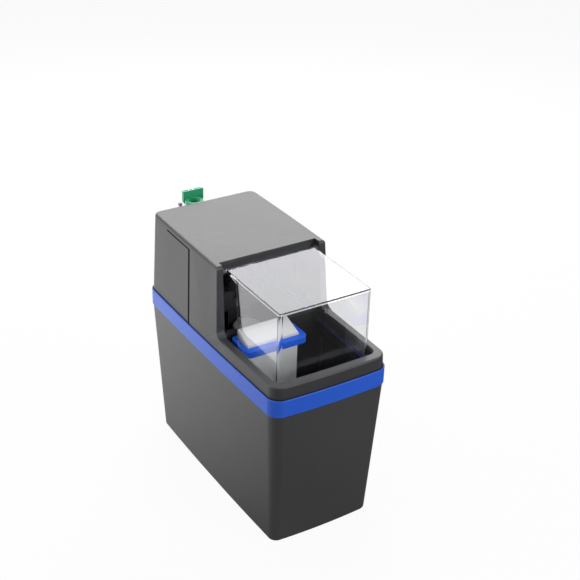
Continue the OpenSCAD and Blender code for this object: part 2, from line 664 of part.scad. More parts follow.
// Brine line: up inside the well, back over the tanks and into the head
module brine_tube() color([0.12, 0.12, 0.13]) {
  translate([tube_x, valve_y, 33]) cylinder(r = tube_r, h = tube_z - 33 - tube_bend, $fn = 36);
  translate([tube_x, valve_y + tube_bend, tube_z - tube_bend]) rotate([90, 0, -90])
    rotate_extrude(angle = 90, $fn = 64) translate([tube_bend, 0]) circle(r = tube_r, $fn = 36);
  translate([tube_x, valve_y + tube_bend, tube_z]) rotate([-90, 0, 0])
    cylinder(r = tube_r, h = head_y - valve_y - 2 * tube_bend, $fn = 36);
  translate([tube_x + tube_bend, head_y - tube_bend, tube_z]) rotate([0, 0, 90])
    rotate_extrude(angle = 90, $fn = 64) translate([tube_bend, 0]) circle(r = tube_r, $fn = 36);
  translate([tube_x + tube_bend, head_y, tube_z]) rotate([0, 90, 0])
    cylinder(r = tube_r, h = tank_x - 28 - tube_x - tube_bend, $fn = 36);
}

// Cradle for both tanks
module tank_base() color([0.2, 0.2, 0.21]) difference() {
  union() {
    translate([tank_x - 50, tank_ya - 48, floor_z]) cube([100, tank_yb - tank_ya + 96, 6]);
    for (y = [tank_ya, tank_yb])
      translate([tank_x, y, floor_z]) cylinder(r = tank_r + 3.4, h = 26, $fn = 96);
  }
  for (y = [tank_ya, tank_yb]) translate([tank_x, y, 10.4]) cylinder(r = tank_r + 0.3, h = 40, $fn = 96);
}

function tank_profile(t) = [
  [0, 10.4 + t], [tank_r - 22, 10.4 + t], [tank_r - 8 - t * 0.6, 15 + t], [tank_r - 2 - t * 0.9, 24 + t],
  [tank_r - t, 36 + t * 0.5], [tank_r - t, cap_z0 - 41], [tank_r - 2.4 - t, cap_z0 - 30 - t * 0.3],
  [tank_r - 9 - t * 0.8, cap_z0 - 20 - t * 0.7],
  [tank_r - 19 - t * 0.5, cap_z0 - 13 - t], [neck_r + 3, cap_z0 - 9 - t], [neck_r - t, cap_z0 - 7 - t]];
module tank(y) color([0.78, 0.8, 0.8]) translate([tank_x, y, 0]) difference() {
  union() {
    rotate_extrude($fn = 96) polygon(concat(tank_profile(0), [[neck_r, cap_z0 + 14], [0, cap_z0 + 14]]));
    translate([0, 0, cap_z0 - 4]) cylinder(r = neck_r + 3, h = 3.5, $fn = 64);
  }
  rotate_extrude($fn = 96)
    polygon(concat(tank_profile(tank_t), [[neck_r - tank_t, cap_z0 + 15], [0, cap_z0 + 15]]));
}
module front_tank() tank(tank_ya);
module rear_tank() tank(tank_yb);
module resin(y) color([0.75, 0.5, 0.2]) translate([tank_x, y, 0]) difference() {
  rotate_extrude($fn = 64) polygon([[0, 13.4], [tank_r - 25, 13.4], [tank_r - 11, 18.5], [tank_r - 5.6, 27.5],
    [tank_r - 3.1, 39], [tank_r - 3.1, cap_z0 - 73], [0, cap_z0 - 73]]);
  translate([0, 0, 16]) cylinder(r = 13, h = 30, $fn = 48);
  translate([0, 0, 40]) cylinder(r = 8.5, h = 300, $fn = 48);
}
module front_resin() resin(tank_ya);
module rear_resin() resin(tank_yb);
module riser_tubes() color([0.85, 0.85, 0.83]) for (y = [tank_ya, tank_yb])
  translate([tank_x, y, 44]) difference() {
    cylinder(r = 7.5, h = cap_z0 - 33, $fn = 40);
    translate([0, 0, -1]) cylinder(r = 5.8, h = cap_z0 - 27, $fn = 40);
  }
module strainers() color([0.85, 0.85, 0.83]) for (y = [tank_ya, tank_yb])
  translate([tank_x, y, 18]) difference() {
    union() {
      cylinder(r = 12, h = 22, $fn = 48);
      translate([0, 0, 22]) cylinder(r = 8.2, h = 4, $fn = 48);
    }
    translate([0, 0, 3]) cylinder(r = 9.6, h = 17, $fn = 48);
    translate([0, 0, 10]) cylinder(r = 5.8, h = 30, $fn = 40);
    for (a = [0:30:150]) rotate([0, 0, a]) translate([-20, -0.7, 5]) cube([40, 1.4, 12]);
  }

// Neck cap: domed, with one side port towards the head
module neck_cap(y, side) color([0.8, 0.8, 0.79]) translate([tank_x, y, 0]) difference() {
  union() {
    rotate_extrude($fn = 96) polygon([[0, cap_z0], [neck_cap_r, cap_z0], [neck_cap_r, cap_z1 - 2],
      [neck_cap_r - 1.5, cap_z1 + 0.4], [neck_cap_r - 5, cap_z1 + 2.2], [neck_cap_r - 12, cap_z1 + 4],
      [0, cap_z1 + 5]]);
    translate([0, side * (neck_cap_r - 4), port_z]) rotate([-90 * side, 0, 0])
      cylinder(r = spigot_r, h = 18, $fn = 48);
    for (a = [0:20:340])
      rotate([0, 0, a + 10]) translate([neck_cap_r - 0.8, -1.2, cap_z0]) cube([1.6, 2.4, 12]);
  }
  translate([0, 0, cap_z0 - 1]) cylinder(r = neck_r + 0.1, h = 15.4, $fn = 64);
  translate([0, 0, cap_z0 + 13]) cylinder(r = 14, h = 11, $fn = 48);
  translate([0, side * 8, port_z]) rotate([-90 * side, 0, 0]) cylinder(r = 5, h = 60, $fn = 36);
  translate([0, side * (neck_cap_r + 9), port_z]) rotate([90, 0, 0]) difference() {
    cylinder(r = 20, h = 1.8, center = true, $fn = 40);
    cylinder(r = seal_in, h = 3, center = true, $fn = 48);
  }
}
module front_neck_cap() neck_cap(tank_ya, 1);
module rear_neck_cap() neck_cap(tank_yb, -1);
module neck_seals() color([0.08, 0.08, 0.08]) for (y = [tank_ya, tank_yb])
  translate([tank_x, y, cap_z0 - 0.5]) difference() {
    cylinder(r = neck_r + 2.6, h = 0.5, $fn = 64);
    translate([0, 0, -1]) cylinder(r = neck_r + 0.05, h = 3, $fn = 64);
  }
module port_seals() color([0.08, 0.08, 0.08]) for (q = [[tank_ya, 1], [tank_yb, -1]])
  translate([tank_x, q[0] + q[1] * (neck_cap_r + 9), port_z]) rotate([90, 0, 0])
    rotate_extrude($fn = 48) translate([seal_in + 0.6, 0]) circle(r = 0.55, $fn = 16);

// Head: joins both necks below and the pipes above, with the shuttle's bore across it
module manifold() color([0.14, 0.14, 0.15]) difference() {
  union() {
    translate([tank_x - 26, head_y - block_l / 2, block_z0]) cube([52, block_l, block_z1 - block_z0 + 1]);
    translate([tank_x - upper_w, head_y - upper_l / 2, block_z1])
      cube([2 * upper_w, upper_l, upper_z1 - block_z1 - 4]);
    translate([tank_x, head_y, upper_z1 - 5]) cylinder(r = meter_r + 3, h = 5, $fn = 72);
    for (s = [-1, 1]) translate([tank_x + s * pipe_dx, head_y + upper_l / 2 - 1, pipe_z]) rotate([-90, 0, 0])
      cylinder(r = 14.5, h = 10, $fn = 56);
    translate([tank_x - 50, head_y, upper_z1 - 6]) cylinder(r = 9, h = 12, $fn = 40);
    translate([tank_x - 30, head_y, tube_z]) rotate([0, 90, 0]) cylinder(r = 8, h = 8, $fn = 40);
  }
  for (s = [-1, 1]) translate([tank_x, head_y + s * (block_l / 2 - 13), port_z]) rotate([-90 * s, 0, 0])
    cylinder(r = spigot_r + 0.35, h = 20, $fn = 48);
  translate([tank_x, head_y + 1, port_z]) rotate([90, 0, 0])
    cylinder(r = 5, h = 30, center = true, $fn = 36);
  translate([tank_x - upper_w - 1, head_y, piston_z]) rotate([0, 90, 0])
    cylinder(r = piston_r + piston_run, h = 2 * upper_w + 2, $fn = 48);
  for (s = [-1, 1]) translate([tank_x + s * pipe_dx, head_y, pipe_z]) {
    translate([0, pipe_in, 0]) rotate([-90, 0, 0]) cylinder(r = pipe_r + 0.05, h = 40, $fn = 48);
    translate([0, 0, -6]) rotate([-90, 0, 0]) cylinder(r = 3, h = pipe_in + 1, $fn = 24);
  }
  for (x = [-6, 6]) translate([tank_x + x, head_y, port_z]) cylinder(r = 3, h = piston_z - port_z, $fn = 24);
  translate([drain_px, head_y, piston_z]) cylinder(r = 3, h = 40, $fn = 24);
  translate([tank_x - 50, head_y, upper_z1 - 4]) cylinder(r = tube_r + 0.05, h = 20, $fn = 36);
  translate([tank_x - 40, head_y, tube_z]) rotate([0, 90, 0])
    cylinder(r = tube_r + 0.05, h = 20.2, $fn = 36);
  for (x = [-44, -16, 12, 40])
    translate([tank_x + x, head_y - upper_l / 2 - 1, block_z1 + 26]) cube([10, 5, 14]);
}
module shuttle_piston() color([0.75, 0.62, 0.3]) translate([tank_x - upper_w + 6, head_y, piston_z])
  rotate([0, 90, 0]) rotate_extrude($fn = 48) polygon([[0, 0], [4, 0], [4, 4], [piston_r, 4], [piston_r, 16],
    [4, 18], [4, 40], [piston_r, 42], [piston_r, 54], [4, 56], [4, 78], [piston_r, 80], [piston_r, 92],
    [4, 92], [4, 96], [0, 96]]);
module bore_plugs() color([0.2, 0.2, 0.21]) for (s = [-1, 1])
  translate([tank_x + s * (upper_w - 6), head_y, piston_z]) rotate([0, 90 * s, 0]) union() {
    cylinder(r = piston_r, h = 6, $fn = 48);
    translate([0, 0, 6.05]) cylinder(r = 12, h = 4, $fn = 6);
    translate([0, 0, 5]) cylinder(r = 5, h = 2, $fn = 24);
  }

// Water meter and the gears that index the head
module meter_housing() color([0.2, 0.2, 0.22]) translate([turb_x, turb_y, upper_z1]) difference() {
  cylinder(r = meter_r, h = meter_z1 - upper_z1, $fn = 72);
  translate([0, 0, 4]) cylinder(r = meter_r - 3, h = 60, $fn = 72);
  translate([0, 0, 1]) cylinder(r = axle_r + 0.06, h = 10, $fn = 32);
  for (a = [35, 215]) rotate([0, 0, a]) translate([meter_r - 8, -3, 14]) cube([12, 6, 10]);
}
module meter_cover() color([0.26, 0.26, 0.28]) difference() {
  union() {
    translate([turb_x, turb_y, meter_z1]) cylinder(r = meter_r, h = 4, $fn = 72);
    translate([turb_x, turb_y, meter_z1 - 3]) cylinder(r = meter_r - 3.1, h = 4, $fn = 72);
    translate([idler_x, idler_y, meter_z1]) cylinder(r = 9, h = 4, $fn = 40);
    translate([dial_x, dial_y, meter_z1]) cylinder(r = 9, h = 4, $fn = 40);
  }
  translate([turb_x, turb_y, meter_z1 - 5]) cylinder(r = axle_r + 0.06, h = 12, $fn = 32);
  translate([idler_x, idler_y, meter_z1]) cylinder(r = shaft_r, h = 12, $fn = 32);
  translate([dial_x, dial_y, meter_z1]) cylinder(r = shaft_r, h = 12, $fn = 32);
}
module gear_pins() color([0.7, 0.7, 0.72]) for (q = [[idler_x, idler_y, 14.5], [dial_x, dial_y, 17]])
  translate([q[0], q[1], meter_z1]) cylinder(r = shaft_r, h = q[2], $fn = 32);

// Involute tooth outline
press_a = 25;
function inv(a) = tan(a) - a * PI / 180;
function tooth_half(r, rp, n) =
  let (rb = rp * cos(press_a), a = r <= rb ? 0 : acos(rb / r))
  (90 / n - 0.07 / rp * 180 / PI) + (inv(press_a) - inv(a)) * 180 / PI;
function gear_pts(n) =
  let (rp = gear_m * n / 2, ra = rp + 0.8 * gear_m, rr = rp - 1.12 * gear_m,
    rs = [rr, rp - 0.5 * gear_m, rp, rp + 0.45 * gear_m, ra])
  [for (k = [0:n - 1]) each [
    for (i = [0:4]) let (a = 360 * k / n - tooth_half(max(rs[i], rp * cos(press_a)), rp, n))
      rs[i] * [cos(a), sin(a)],
    for (i = [4:-1:0]) let (a = 360 * k / n + tooth_half(max(rs[i], rp * cos(press_a)), rp, n))
      rs[i] * [cos(a), sin(a)]
  ]];
module gear(n, h) linear_extrude(h) polygon(gear_pts(n));

module turbine() color([0.85, 0.85, 0.85]) translate([turb_x, turb_y, 0]) {
  translate([0, 0, upper_z1 + 1.6]) cylinder(r = axle_r, h = gear_z - upper_z1 - 1, $fn = 32);
  translate([0, 0, upper_z1 + 8]) cylinder(r = 4, h = 14, $fn = 32);
  for (a = [0:45:315]) rotate([0, 0, a]) translate([3, -0.7, upper_z1 + 9]) cube([16, 1.4, 12]);
  translate([0, 0, gear_z]) gear(pin_t, 5);
}
module idler_gear() color([0.9, 0.9, 0.86]) translate([idler_x, idler_y, 0]) difference() {
  union() {
    translate([0, 0, gear_z - 1.5]) cylinder(r = 5, h = 2, $fn = 32);
    translate([0, 0, gear_z]) rotate([0, 0, 180 / idler_t]) gear(idler_t, 4);
    translate([0, 0, gear_z + 3.9]) gear(pin_t, 5.1);
  }
  translate([0, 0, gear_z - 3]) cylinder(r = shaft_r + shaft_run, h = 20, $fn = 32);
  for (a = [30:60:330]) rotate([0, 0, a]) translate([11.5, 0, gear_z - 1]) cylinder(r = 3, h = 6, $fn = 20);
}
module index_dial() color([0.9, 0.9, 0.86]) translate([dial_x, dial_y, 0]) difference() {
  union() {
    translate([0, 0, gear_z - 1.5]) cylinder(r = 5, h = 8, $fn = 32);
    translate([0, 0, gear_z + 5]) rotate([0, 0, 180 / dial_t]) gear(dial_t, 4);
    translate([0, 0, gear_z + 8.9]) cylinder(r = 20, h = 2, $fn = 56);
    for (a = [0:45:315])
      rotate([0, 0, a]) translate([16, 0, gear_z + 10]) cylinder(r = 1.5, h = 3.5, $fn = 20);
  }
  translate([0, 0, gear_z - 3]) cylinder(r = shaft_r + shaft_run, h = 30, $fn = 32);
  for (a = [22.5:45:337.5])
    rotate([0, 0, a]) translate([11, 0, gear_z + 3]) cylinder(r = 2.6, h = 12, $fn = 20);
}

// Threaded pipes through the rear window
module pipe(s) color([0.16, 0.16, 0.17]) translate([tank_x + s * pipe_dx, 0, pipe_z]) difference() {
  union() {
    translate([0, head_y + pipe_in, 0]) rotate([-90, 0, 0])
      cylinder(r = pipe_r, h = pipe_end - head_y - pipe_in, $fn = 56);
    translate([0, pipe_end - 32, 0]) rotate([-90, 0, 0]) cylinder(r = thread_r, h = 29, $fn = 64);
    translate([0, pipe_end - 35, 0]) rotate([-90, 0, 0]) cylinder(r = 16, h = 5, $fn = 6);
    translate([0, pipe_end - 52, 0]) rotate([-90, 0, 0]) cylinder(r = 12, h = 3, $fn = 48);
  }
  translate([0, head_y, 0]) rotate([-90, 0, 0]) cylinder(r = 7, h = pipe_end - head_y + 31, $fn = 48);
  for (y = [pipe_end - 27:2:pipe_end - 15]) translate([0, y, 0]) rotate([-90, 0, 0]) difference() {
    cylinder(r = thread_r + 1, h = 0.8, $fn = 64);
    translate([0, 0, -1]) cylinder(r = thread_r - 0.9, h = 3, $fn = 64);
  }
}
module inlet_pipe() pipe(-1);
module outlet_pipe() pipe(1);

// Drain line: rises from the head and runs back to a socket behind the cover
drain_run = socket_y - 7 - head_y - drain_bend;
module drain_pipe() color([0.12, 0.12, 0.13]) {
  translate([drain_px, head_y, upper_z1 - 3.8])
    cylinder(r = tube_r, h = drain_z - upper_z1 + 3.8 - drain_bend, $fn = 36);
  translate([drain_px, head_y + drain_bend, drain_z - drain_bend]) rotate([90, 0, -90])
    rotate_extrude(angle = 90, $fn = 48) translate([drain_bend, 0]) circle(r = tube_r, $fn = 36);
  translate([drain_px, head_y + drain_bend, drain_z]) rotate([-90, 0, 0])
    cylinder(r = tube_r, h = drain_run + 2, $fn = 36);
  difference() {
    translate([drain_px - 1, socket_y - 11, drain_z - 9]) cube([drain_x - drain_px + 11, 12, 18]);
    translate([drain_x, socket_y - 7, drain_z]) rotate([-90, 0, 0]) cylinder(r = 6.2, h = 20, $fn = 40);
  }
  translate([drain_x, socket_y, drain_z]) rotate([-90, 0, 0]) difference() {
    cylinder(r = 8.5, h = 22, $fn = 48);
    translate([0, 0, -2]) cylinder(r = 6.2, h = 30, $fn = 40);
  }
}
// Elbow on the cover: its inner spigot pushes into the drain line's socket
module drain_elbow() color([0.8, 0.8, 0.78]) translate([drain_x, 0, drain_z]) difference() {
  union() {
    translate([0, socket_y + 3, 0]) rotate([-90, 0, 0])
      cylinder(r = 5, h = drain_y - socket_y - 3, $fn = 40);
    translate([0, pad_y, 0]) rotate([-90, 0, 0]) cylinder(r = 9, h = 4, $fn = 6);
    translate([0, pad_y - 9.4, 0]) rotate([-90, 0, 0]) cylinder(r = 9, h = 4, $fn = 6);
    translate([0, drain_y, 0]) sphere(r = 5.2, $fn = 40);
    translate([0, drain_y, 0]) cylinder(r = hose_r - 1, h = hose_end - drain_z, $fn = 40);
    for (z = [5, 10]) translate([0, drain_y, z]) cylinder(r1 = hose_r, r2 = hose_r - 1, h = 3.6, $fn = 40);
  }
  translate([0, socket_y - 2, 0]) rotate([-90, 0, 0]) cylinder(r = 3, h = drain_y - socket_y + 2, $fn = 32);
  translate([0, drain_y, 0]) cylinder(r = 2.2, h = 40, $fn = 32);
}
// Dark ring round the end of the elbow
hose_r = 4.3;
module drain_ring() color([0.08, 0.08, 0.08]) translate([drain_x, drain_y, hose_end - 2]) difference() {
  cylinder(r = hose_r, h = 2.4, $fn = 48);
  translate([0, 0, -1]) cylinder(r = hose_r - 0.95, h = 5, $fn = 40);
}

// Overflow at the back of the cabinet
module overflow_elbow() color([0.12, 0.12, 0.13]) translate([over_x, 0, over_z]) difference() {
  union() {
    translate([0, pad_over - 25, 0]) rotate([-90, 0, 0]) cylinder(r = 10, h = 40, $fn = 56);
    translate([0, pad_over + 1.5, 0]) rotate([-90, 0, 0]) cylinder(r = 16, h = 3, $fn = 56);
    translate([0, pad_over + 15, 0]) sphere(r = 10.5, $fn = 48);
    translate([0, pad_over + 15, -40]) cylinder(r = 8, h = 40, $fn = 48);
    for (z = [-38, -31, -24]) translate([0, pad_over + 15, z]) cylinder(r1 = 8, r2 = 9.2, h = 4, $fn = 48);
  }
  translate([0, pad_over - 31, 0]) rotate([-90, 0, 0]) cylinder(r = 7, h = 46, $fn = 40);
  translate([0, pad_over + 15, -50]) cylinder(r = 5.5, h = 50, $fn = 40);
}
module overflow_nut() color([0.12, 0.12, 0.13])
  translate([over_x, pad_over - 19, over_z]) rotate([-90, 0, 0]) difference() {
  cylinder(r = 15.5, h = 6, $fn = 6);
  translate([0, 0, -1]) cylinder(r = 10.02, h = 10, $fn = 56);
}
module overflow_gasket() color([0.06, 0.06, 0.06])
  translate([over_x, pad_over, over_z]) rotate([-90, 0, 0]) difference() {
  cylinder(r = 16, h = 1.5, $fn = 56);
  translate([0, 0, -1]) cylinder(r = 10.1, h = 5, $fn = 56);
}

// Bracket behind the hood: an upright plate with a level ring for the hose
module hose_bracket() color([0.18, 0.58, 0.4]) difference() {
  union() {
    translate([bracket_x, plate_y0 + plate_t, clip_z]) rotate([90, 0, 0]) linear_extrude(plate_t) union() {
      translate([-23, 39]) square([46, 19]);
      translate([-14, 30]) square([28, 20]);
      translate([-21, 48]) square([42, 12]);
      for (s = [-1, 1]) {
        translate([s * 14, 39]) circle(r = 9, $fn = 48);
        translate([s * 21, 58]) circle(r = 2, $fn = 24);
      }
      translate([-15, 0]) square([30, 40]);
    }
    translate([ring_x, ring_y, ring_z - 3]) cylinder(r = ring_r, h = 6, $fn = 72);
    translate([bracket_x - 15, pad_y + 2, clip_z]) cube([30, plate_y0 - pad_y + plate_t - 2, 5]);
    translate([bracket_x - 22, pad_y, clip_z]) cube([44, 5, 23]);
    for (x = [-13, 10]) translate([bracket_x + x, 0, clip_z]) rotate([90, 0, 90]) linear_extrude(3)
      polygon([[pad_y + 4, 4], [pad_y + 4, 21], [pad_y + 14, 4]]);
  }
  translate([ring_x, ring_y, ring_z - 10]) cylinder(r = ring_hole, h = 20, $fn = 64);
  // pockets in the plate's upper edge
  for (q = [[-20, 9.5], [-7.5, 6], [1, 18]])
    translate([bracket_x + q[0], plate_y0 + 2.2, clip_z + 56.5]) cube([q[1], 2.8, 5]);
  for (x = [-15, 15])
    translate([bracket_x + x, pad_y - 1, clip_z + 11.5]) rotate([-90, 0, 0])
      cylinder(r = 2.3, h = 10, $fn = 32);
  for (x = [-15, 15])
    translate([bracket_x + x, pad_y + 5, clip_z + 11.5]) rotate([-90, 0, 0])
      cylinder(r = 4.6, h = 24, $fn = 32);
}
module bracket_screws() color([0.6, 0.6, 0.62]) for (x = [-15, 15])
  translate([bracket_x + x, pad_y + 5, clip_z + 11.5]) rotate([-90, 0, 0]) difference() {
    union() {
      cylinder(r = 4, h = 2.6, $fn = 40);
      translate([0, 0, -14]) cylinder(r = 1.8, h = 14.1, $fn = 32);
    }
    translate([-2.6, -0.5, 1.6]) cube([5.2, 1, 2]);
    translate([-0.5, -2.6, 1.6]) cube([1, 5.2, 2]);
  }

cabinet();
band_ring();
hood();
rear_cover();
salt_lid();
lid_pins();
partition();
salt_grid();
brine_well();
well_collar();
well_cap();
float();
float_guide();
brine_valve();
brine_tube();
tank_base();
front_tank();
rear_tank();
front_resin();
rear_resin();
riser_tubes();
strainers();
front_neck_cap();
rear_neck_cap();
neck_seals();
manifold();
port_seals();
shuttle_piston();
bore_plugs();
meter_housing();
meter_cover();
turbine();
idler_gear();
index_dial();
gear_pins();
inlet_pipe();
outlet_pipe();
drain_pipe();
drain_elbow();
drain_ring();
overflow_elbow();
overflow_nut();
overflow_gasket();
hose_bracket();
bracket_screws();
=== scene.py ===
import json
import math

import bmesh
import bpy
from mathutils import Matrix, Vector


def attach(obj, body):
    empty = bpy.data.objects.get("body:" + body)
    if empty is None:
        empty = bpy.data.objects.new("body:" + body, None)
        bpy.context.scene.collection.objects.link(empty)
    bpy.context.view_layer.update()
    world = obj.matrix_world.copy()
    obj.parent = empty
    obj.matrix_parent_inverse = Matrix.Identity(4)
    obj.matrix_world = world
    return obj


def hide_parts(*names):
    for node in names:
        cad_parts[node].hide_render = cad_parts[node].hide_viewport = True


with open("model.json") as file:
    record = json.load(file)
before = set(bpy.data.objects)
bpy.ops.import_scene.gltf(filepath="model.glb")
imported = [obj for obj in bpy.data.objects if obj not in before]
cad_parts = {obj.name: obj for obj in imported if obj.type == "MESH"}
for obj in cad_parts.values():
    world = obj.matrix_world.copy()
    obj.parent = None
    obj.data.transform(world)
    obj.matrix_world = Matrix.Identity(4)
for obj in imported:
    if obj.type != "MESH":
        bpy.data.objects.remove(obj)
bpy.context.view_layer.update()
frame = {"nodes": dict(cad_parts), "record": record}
cadNodes = frame["nodes"]
slotOf = {part["node"]: part["material_slot"] for part in frame["record"]["subparts"]}
bodyOf = {name: body for body, names in frame["record"]["behaviour"]["bodies"].items() for name in names}
mm = 0.001  # in metres


# Lowest and highest corner of a CAD node, in metres
def nodeBox(nodeName):
    points = [vert.co for vert in cadNodes[nodeName].data.vertices]
    return [Vector([pick(point[axis] for point in points) for axis in range(3)]) for pick in (min, max)]


def addObject(name, data):
    made = bpy.data.objects.new(name, data)
    bpy.context.scene.collection.objects.link(made)
    return made


# Node helpers. What they are given is either a socket, which is linked, or a plain value, which is set
def feed(tree, target, given):
    if isinstance(given, bpy.types.NodeSocket):
        tree.links.new(given, target)
    else:
        target.default_value = given


# An input's name is written with _ for each space
def setInputs(tree, node, **values):
    for name, given in values.items():
        feed(tree, node.inputs[name.replace("_", " ")], given)


# A keyword is a property of the node, or else one of its inputs
def addNode(tree, kind, place, **values):
    made = tree.nodes.new(kind)
    made.location = place
    for name, given in values.items():
        if hasattr(made, name):
            setattr(made, name, given)
        else:
            setInputs(tree, made, **{name: given})
    return made


# For nodes with inputs of the same name, which are fed in their order
def addInOrder(tree, kind, place, given, **values):
    made = addNode(tree, kind, place, **values)
    for index, value in enumerate(given):
        feed(tree, made.inputs[index], value)
    return made


def addMath(tree, operation, place, *given, clamp=False):
    made = addInOrder(tree, "ShaderNodeMath", place, given, operation=operation, use_clamp=clamp)
    return made.outputs["Value"]


# Inputs and output of a Mix node for each kind of value: factor, first, second, result
mixSockets = {"FLOAT": (0, 2, 3, 0), "RGBA": (0, 6, 7, 2)}


def addMix(tree, kind, place, factor, first, second):
    made = addNode(tree, "ShaderNodeMix", place, data_type=kind)
    *inputs, result = mixSockets[kind]
    for index, given in zip(inputs, (factor, first, second)):
        feed(tree, made.inputs[index], given)
    return made.outputs[result]


# Stretches a value from one span to another
def addSpan(tree, place, value, low, high, toLow=0.0, toHigh=1.0):
    made = addNode(tree, "ShaderNodeMapRange", place, Value=value, From_Min=low, From_Max=high,
                   To_Min=toLow, To_Max=toHigh)
    return made.outputs["Result"]


def addNoise(tree, place, vector, perMetre, detail, rough=0.5):
    made = addNode(tree, "ShaderNodeTexNoise", place, Vector=vector, Scale=perMetre, Detail=detail,
                   Roughness=rough)
    return made.outputs["Fac"]


# Height is the distance in metres that a full step of the given value stands for
def addBump(tree, value, strength, height, invert=False):
    made = addNode(tree, "ShaderNodeBump", (200, -400), invert=invert, Strength=strength, Distance=height,
                   Height=value)
    return made.outputs["Normal"]


nodeStep = 150  # between nodes of a row in the editor


# One where all of the masks are one
def addOverlap(tree, place, *masks):
    total = masks[0]
    for index, mask in enumerate(masks[1:]):
        total = addMath(tree, "MULTIPLY", (place[0] + nodeStep * index, place[1]), total, mask)
    return total


# Blends two shaders by a factor and leads the result to the output node
def mixShaders(tree, place, factor, first, second, output):
    made = addInOrder(tree, "ShaderNodeMixShader", place, (factor, first, second))
    setInputs(tree, output, Surface=made.outputs["Shader"])


# Kind of a group's socket, by how many numbers its value holds
socketKinds = {1: "NodeSocketFloat", 3: "NodeSocketVector", 4: "NodeSocketColor"}


# The inputs come with their values; each output has a value of its kind
def newGroup(name, inputs, outputs):
    group = bpy.data.node_groups.new(name, "ShaderNodeTree")
    for side, sockets in (("INPUT", inputs), ("OUTPUT", outputs)):
        for label, value in sockets.items():
            kind = socketKinds[len(value) if isinstance(value, tuple) else 1]
            socket = group.interface.new_socket(label, in_out=side, socket_type=kind)
            socket.default_value = value
    source = addNode(group, "NodeGroupInput", (-900, 0))
    sink = addNode(group, "NodeGroupOutput", (900, 0))
    return group, source.outputs, sink


anyColour = (0.1, 0.1, 0.1, 1.0)  # for a group's sockets that every material sets

# Fine eroded texture of a moulding tool: two sizes of noise, the finer one cut to a span. Coarse is the
# share of the broader one
grainLook = {"fine": 900.0, "broad": 170.0, "tops": (0.35, 0.62)}


def buildMouldGrain(look):
    group, source, sink = newGroup("mouldGrain", {"Coarse": 0.35}, {"Height": 0.0, "Mask": 0.0})
    place = addNode(group, "ShaderNodeTexCoord", (-900, -300)).outputs["Object"]
    fine = addNoise(group, (-600, 200), place, look["fine"], detail=3.0, rough=0.6)
    broad = addNoise(group, (-600, -200), place, look["broad"], detail=2.0)
    tops = addSpan(group, (-350, 200), fine, *look["tops"])
    height = addMix(group, "FLOAT", (-50, 0), source["Coarse"], tops, broad)
    setInputs(group, sink, Height=height, Mask=tops)
    return group


# Slow drift of tone over a moulding, with edges and scattered fine scratches in a second tone. The scratches
# are wear; on edges the second tone is wear and also painted light: a painted highlight on most mouldings,
# painted shade on white. Noises are per metre, and each span is the part of a value that counts
toneLook = {"cloud": 7.0, "cloudSpan": (0.3, 0.7), "breakUp": 60.0, "edgeSpan": (0.52, 0.62), "scratch": 9.0,
            "scratchSpan": (0.64, 0.72), "streak": (14.0, 60.0, 60.0), "streakTurn": (0.4, 0.3, 0.5)}


def buildWornAndEdgeLitTone(look):
    group, source, sink = newGroup(
        "handledTone", {"Colour": anyColour, "Rubbed": anyColour, "Edge": 0.5, "Drift": 0.15, "Scuffs": 0.1},
        {"Colour": anyColour})
    place = addNode(group, "ShaderNodeTexCoord", (-900, -300)).outputs["Object"]
    pointed = addNode(group, "ShaderNodeNewGeometry", (-900, -500)).outputs["Pointiness"]
    cloud = addNoise(group, (-650, 150), place, look["cloud"], detail=2.0)
    breakUp = addNoise(group, (-650, -150), place, look["breakUp"], detail=4.0, rough=0.7)
    streak = addNode(group, "ShaderNodeMapping", (-900, -750), Vector=place, Scale=look["streak"],
                     Rotation=look["streakTurn"]).outputs["Vector"]
    scratch = addNoise(group, (-650, -750), streak, look["scratch"], detail=5.0, rough=0.75)
    clouded = addSpan(group, (-450, 150), cloud, *look["cloudSpan"])
    drift = addMath(group, "MULTIPLY", (-250, 150), clouded, source["Drift"])
    edged = addSpan(group, (-650, -450), pointed, *look["edgeSpan"])
    edge = addMath(group, "MULTIPLY", (-450, -450), edged, source["Edge"])
    edgeBroken = addMath(group, "MULTIPLY", (-250, -300), edge, breakUp)
    scratchLines = addSpan(group, (-450, -750), scratch, *look["scratchSpan"])
    scratched = addMath(group, "MULTIPLY", (-250, -750), scratchLines, source["Scuffs"])
    worn = addMath(group, "MAXIMUM", (-50, -400), edgeBroken, scratched)
    total = addMath(group, "ADD", (150, -100), drift, worn, clamp=True)
    tone = addMix(group, "RGBA", (400, 100), total, source["Colour"], source["Rubbed"])
    setInputs(group, sink, Colour=tone)
    return group


# Thin dust on faces that look up
dustLook = {"colour": (0.420, 0.410, 0.390), "speck": 420.0, "speckSpan": (0.42, 0.7), "upSpan": (0.35, 1.0)}


def buildDustFilm(look):
    group, source, sink = newGroup("dustFilm", {"Colour": anyColour, "Amount": 0.1}, {"Colour": anyColour})
    coords = addNode(group, "ShaderNodeTexCoord", (-900, -300)).outputs
    facing = addNode(group, "ShaderNodeSeparateXYZ", (-650, -300), Vector=coords["Normal"]).outputs
    speck = addNoise(group, (-650, 100), coords["Object"], look["speck"], detail=5.0, rough=0.8)
    upward = addSpan(group, (-450, -300), facing["Z"], *look["upSpan"])
    specks = addSpan(group, (-450, 100), speck, *look["speckSpan"])
    film = addOverlap(group, (-200, 0), upward, specks, source["Amount"])
    tone = addMix(group, "RGBA", (300, 100), film, source["Colour"], (*look["colour"], 1))
    setInputs(group, sink, Colour=tone)
    return group


# Mask of the painted shade in the seam between hood and rear cover, in metres: from the band it leans back
# with height, Half to each side of its line, and then runs level towards the rear, Drop high
seamPlace = {"Foot": 0.0707, "Lean": 0.046, "Base": nodeBox("band_ring")[1].z, "Half": 0.0034,
             "Top": nodeBox("rear_cover")[1].z + 0.0009, "Drop": 0.0034, "Rear": 0.173}


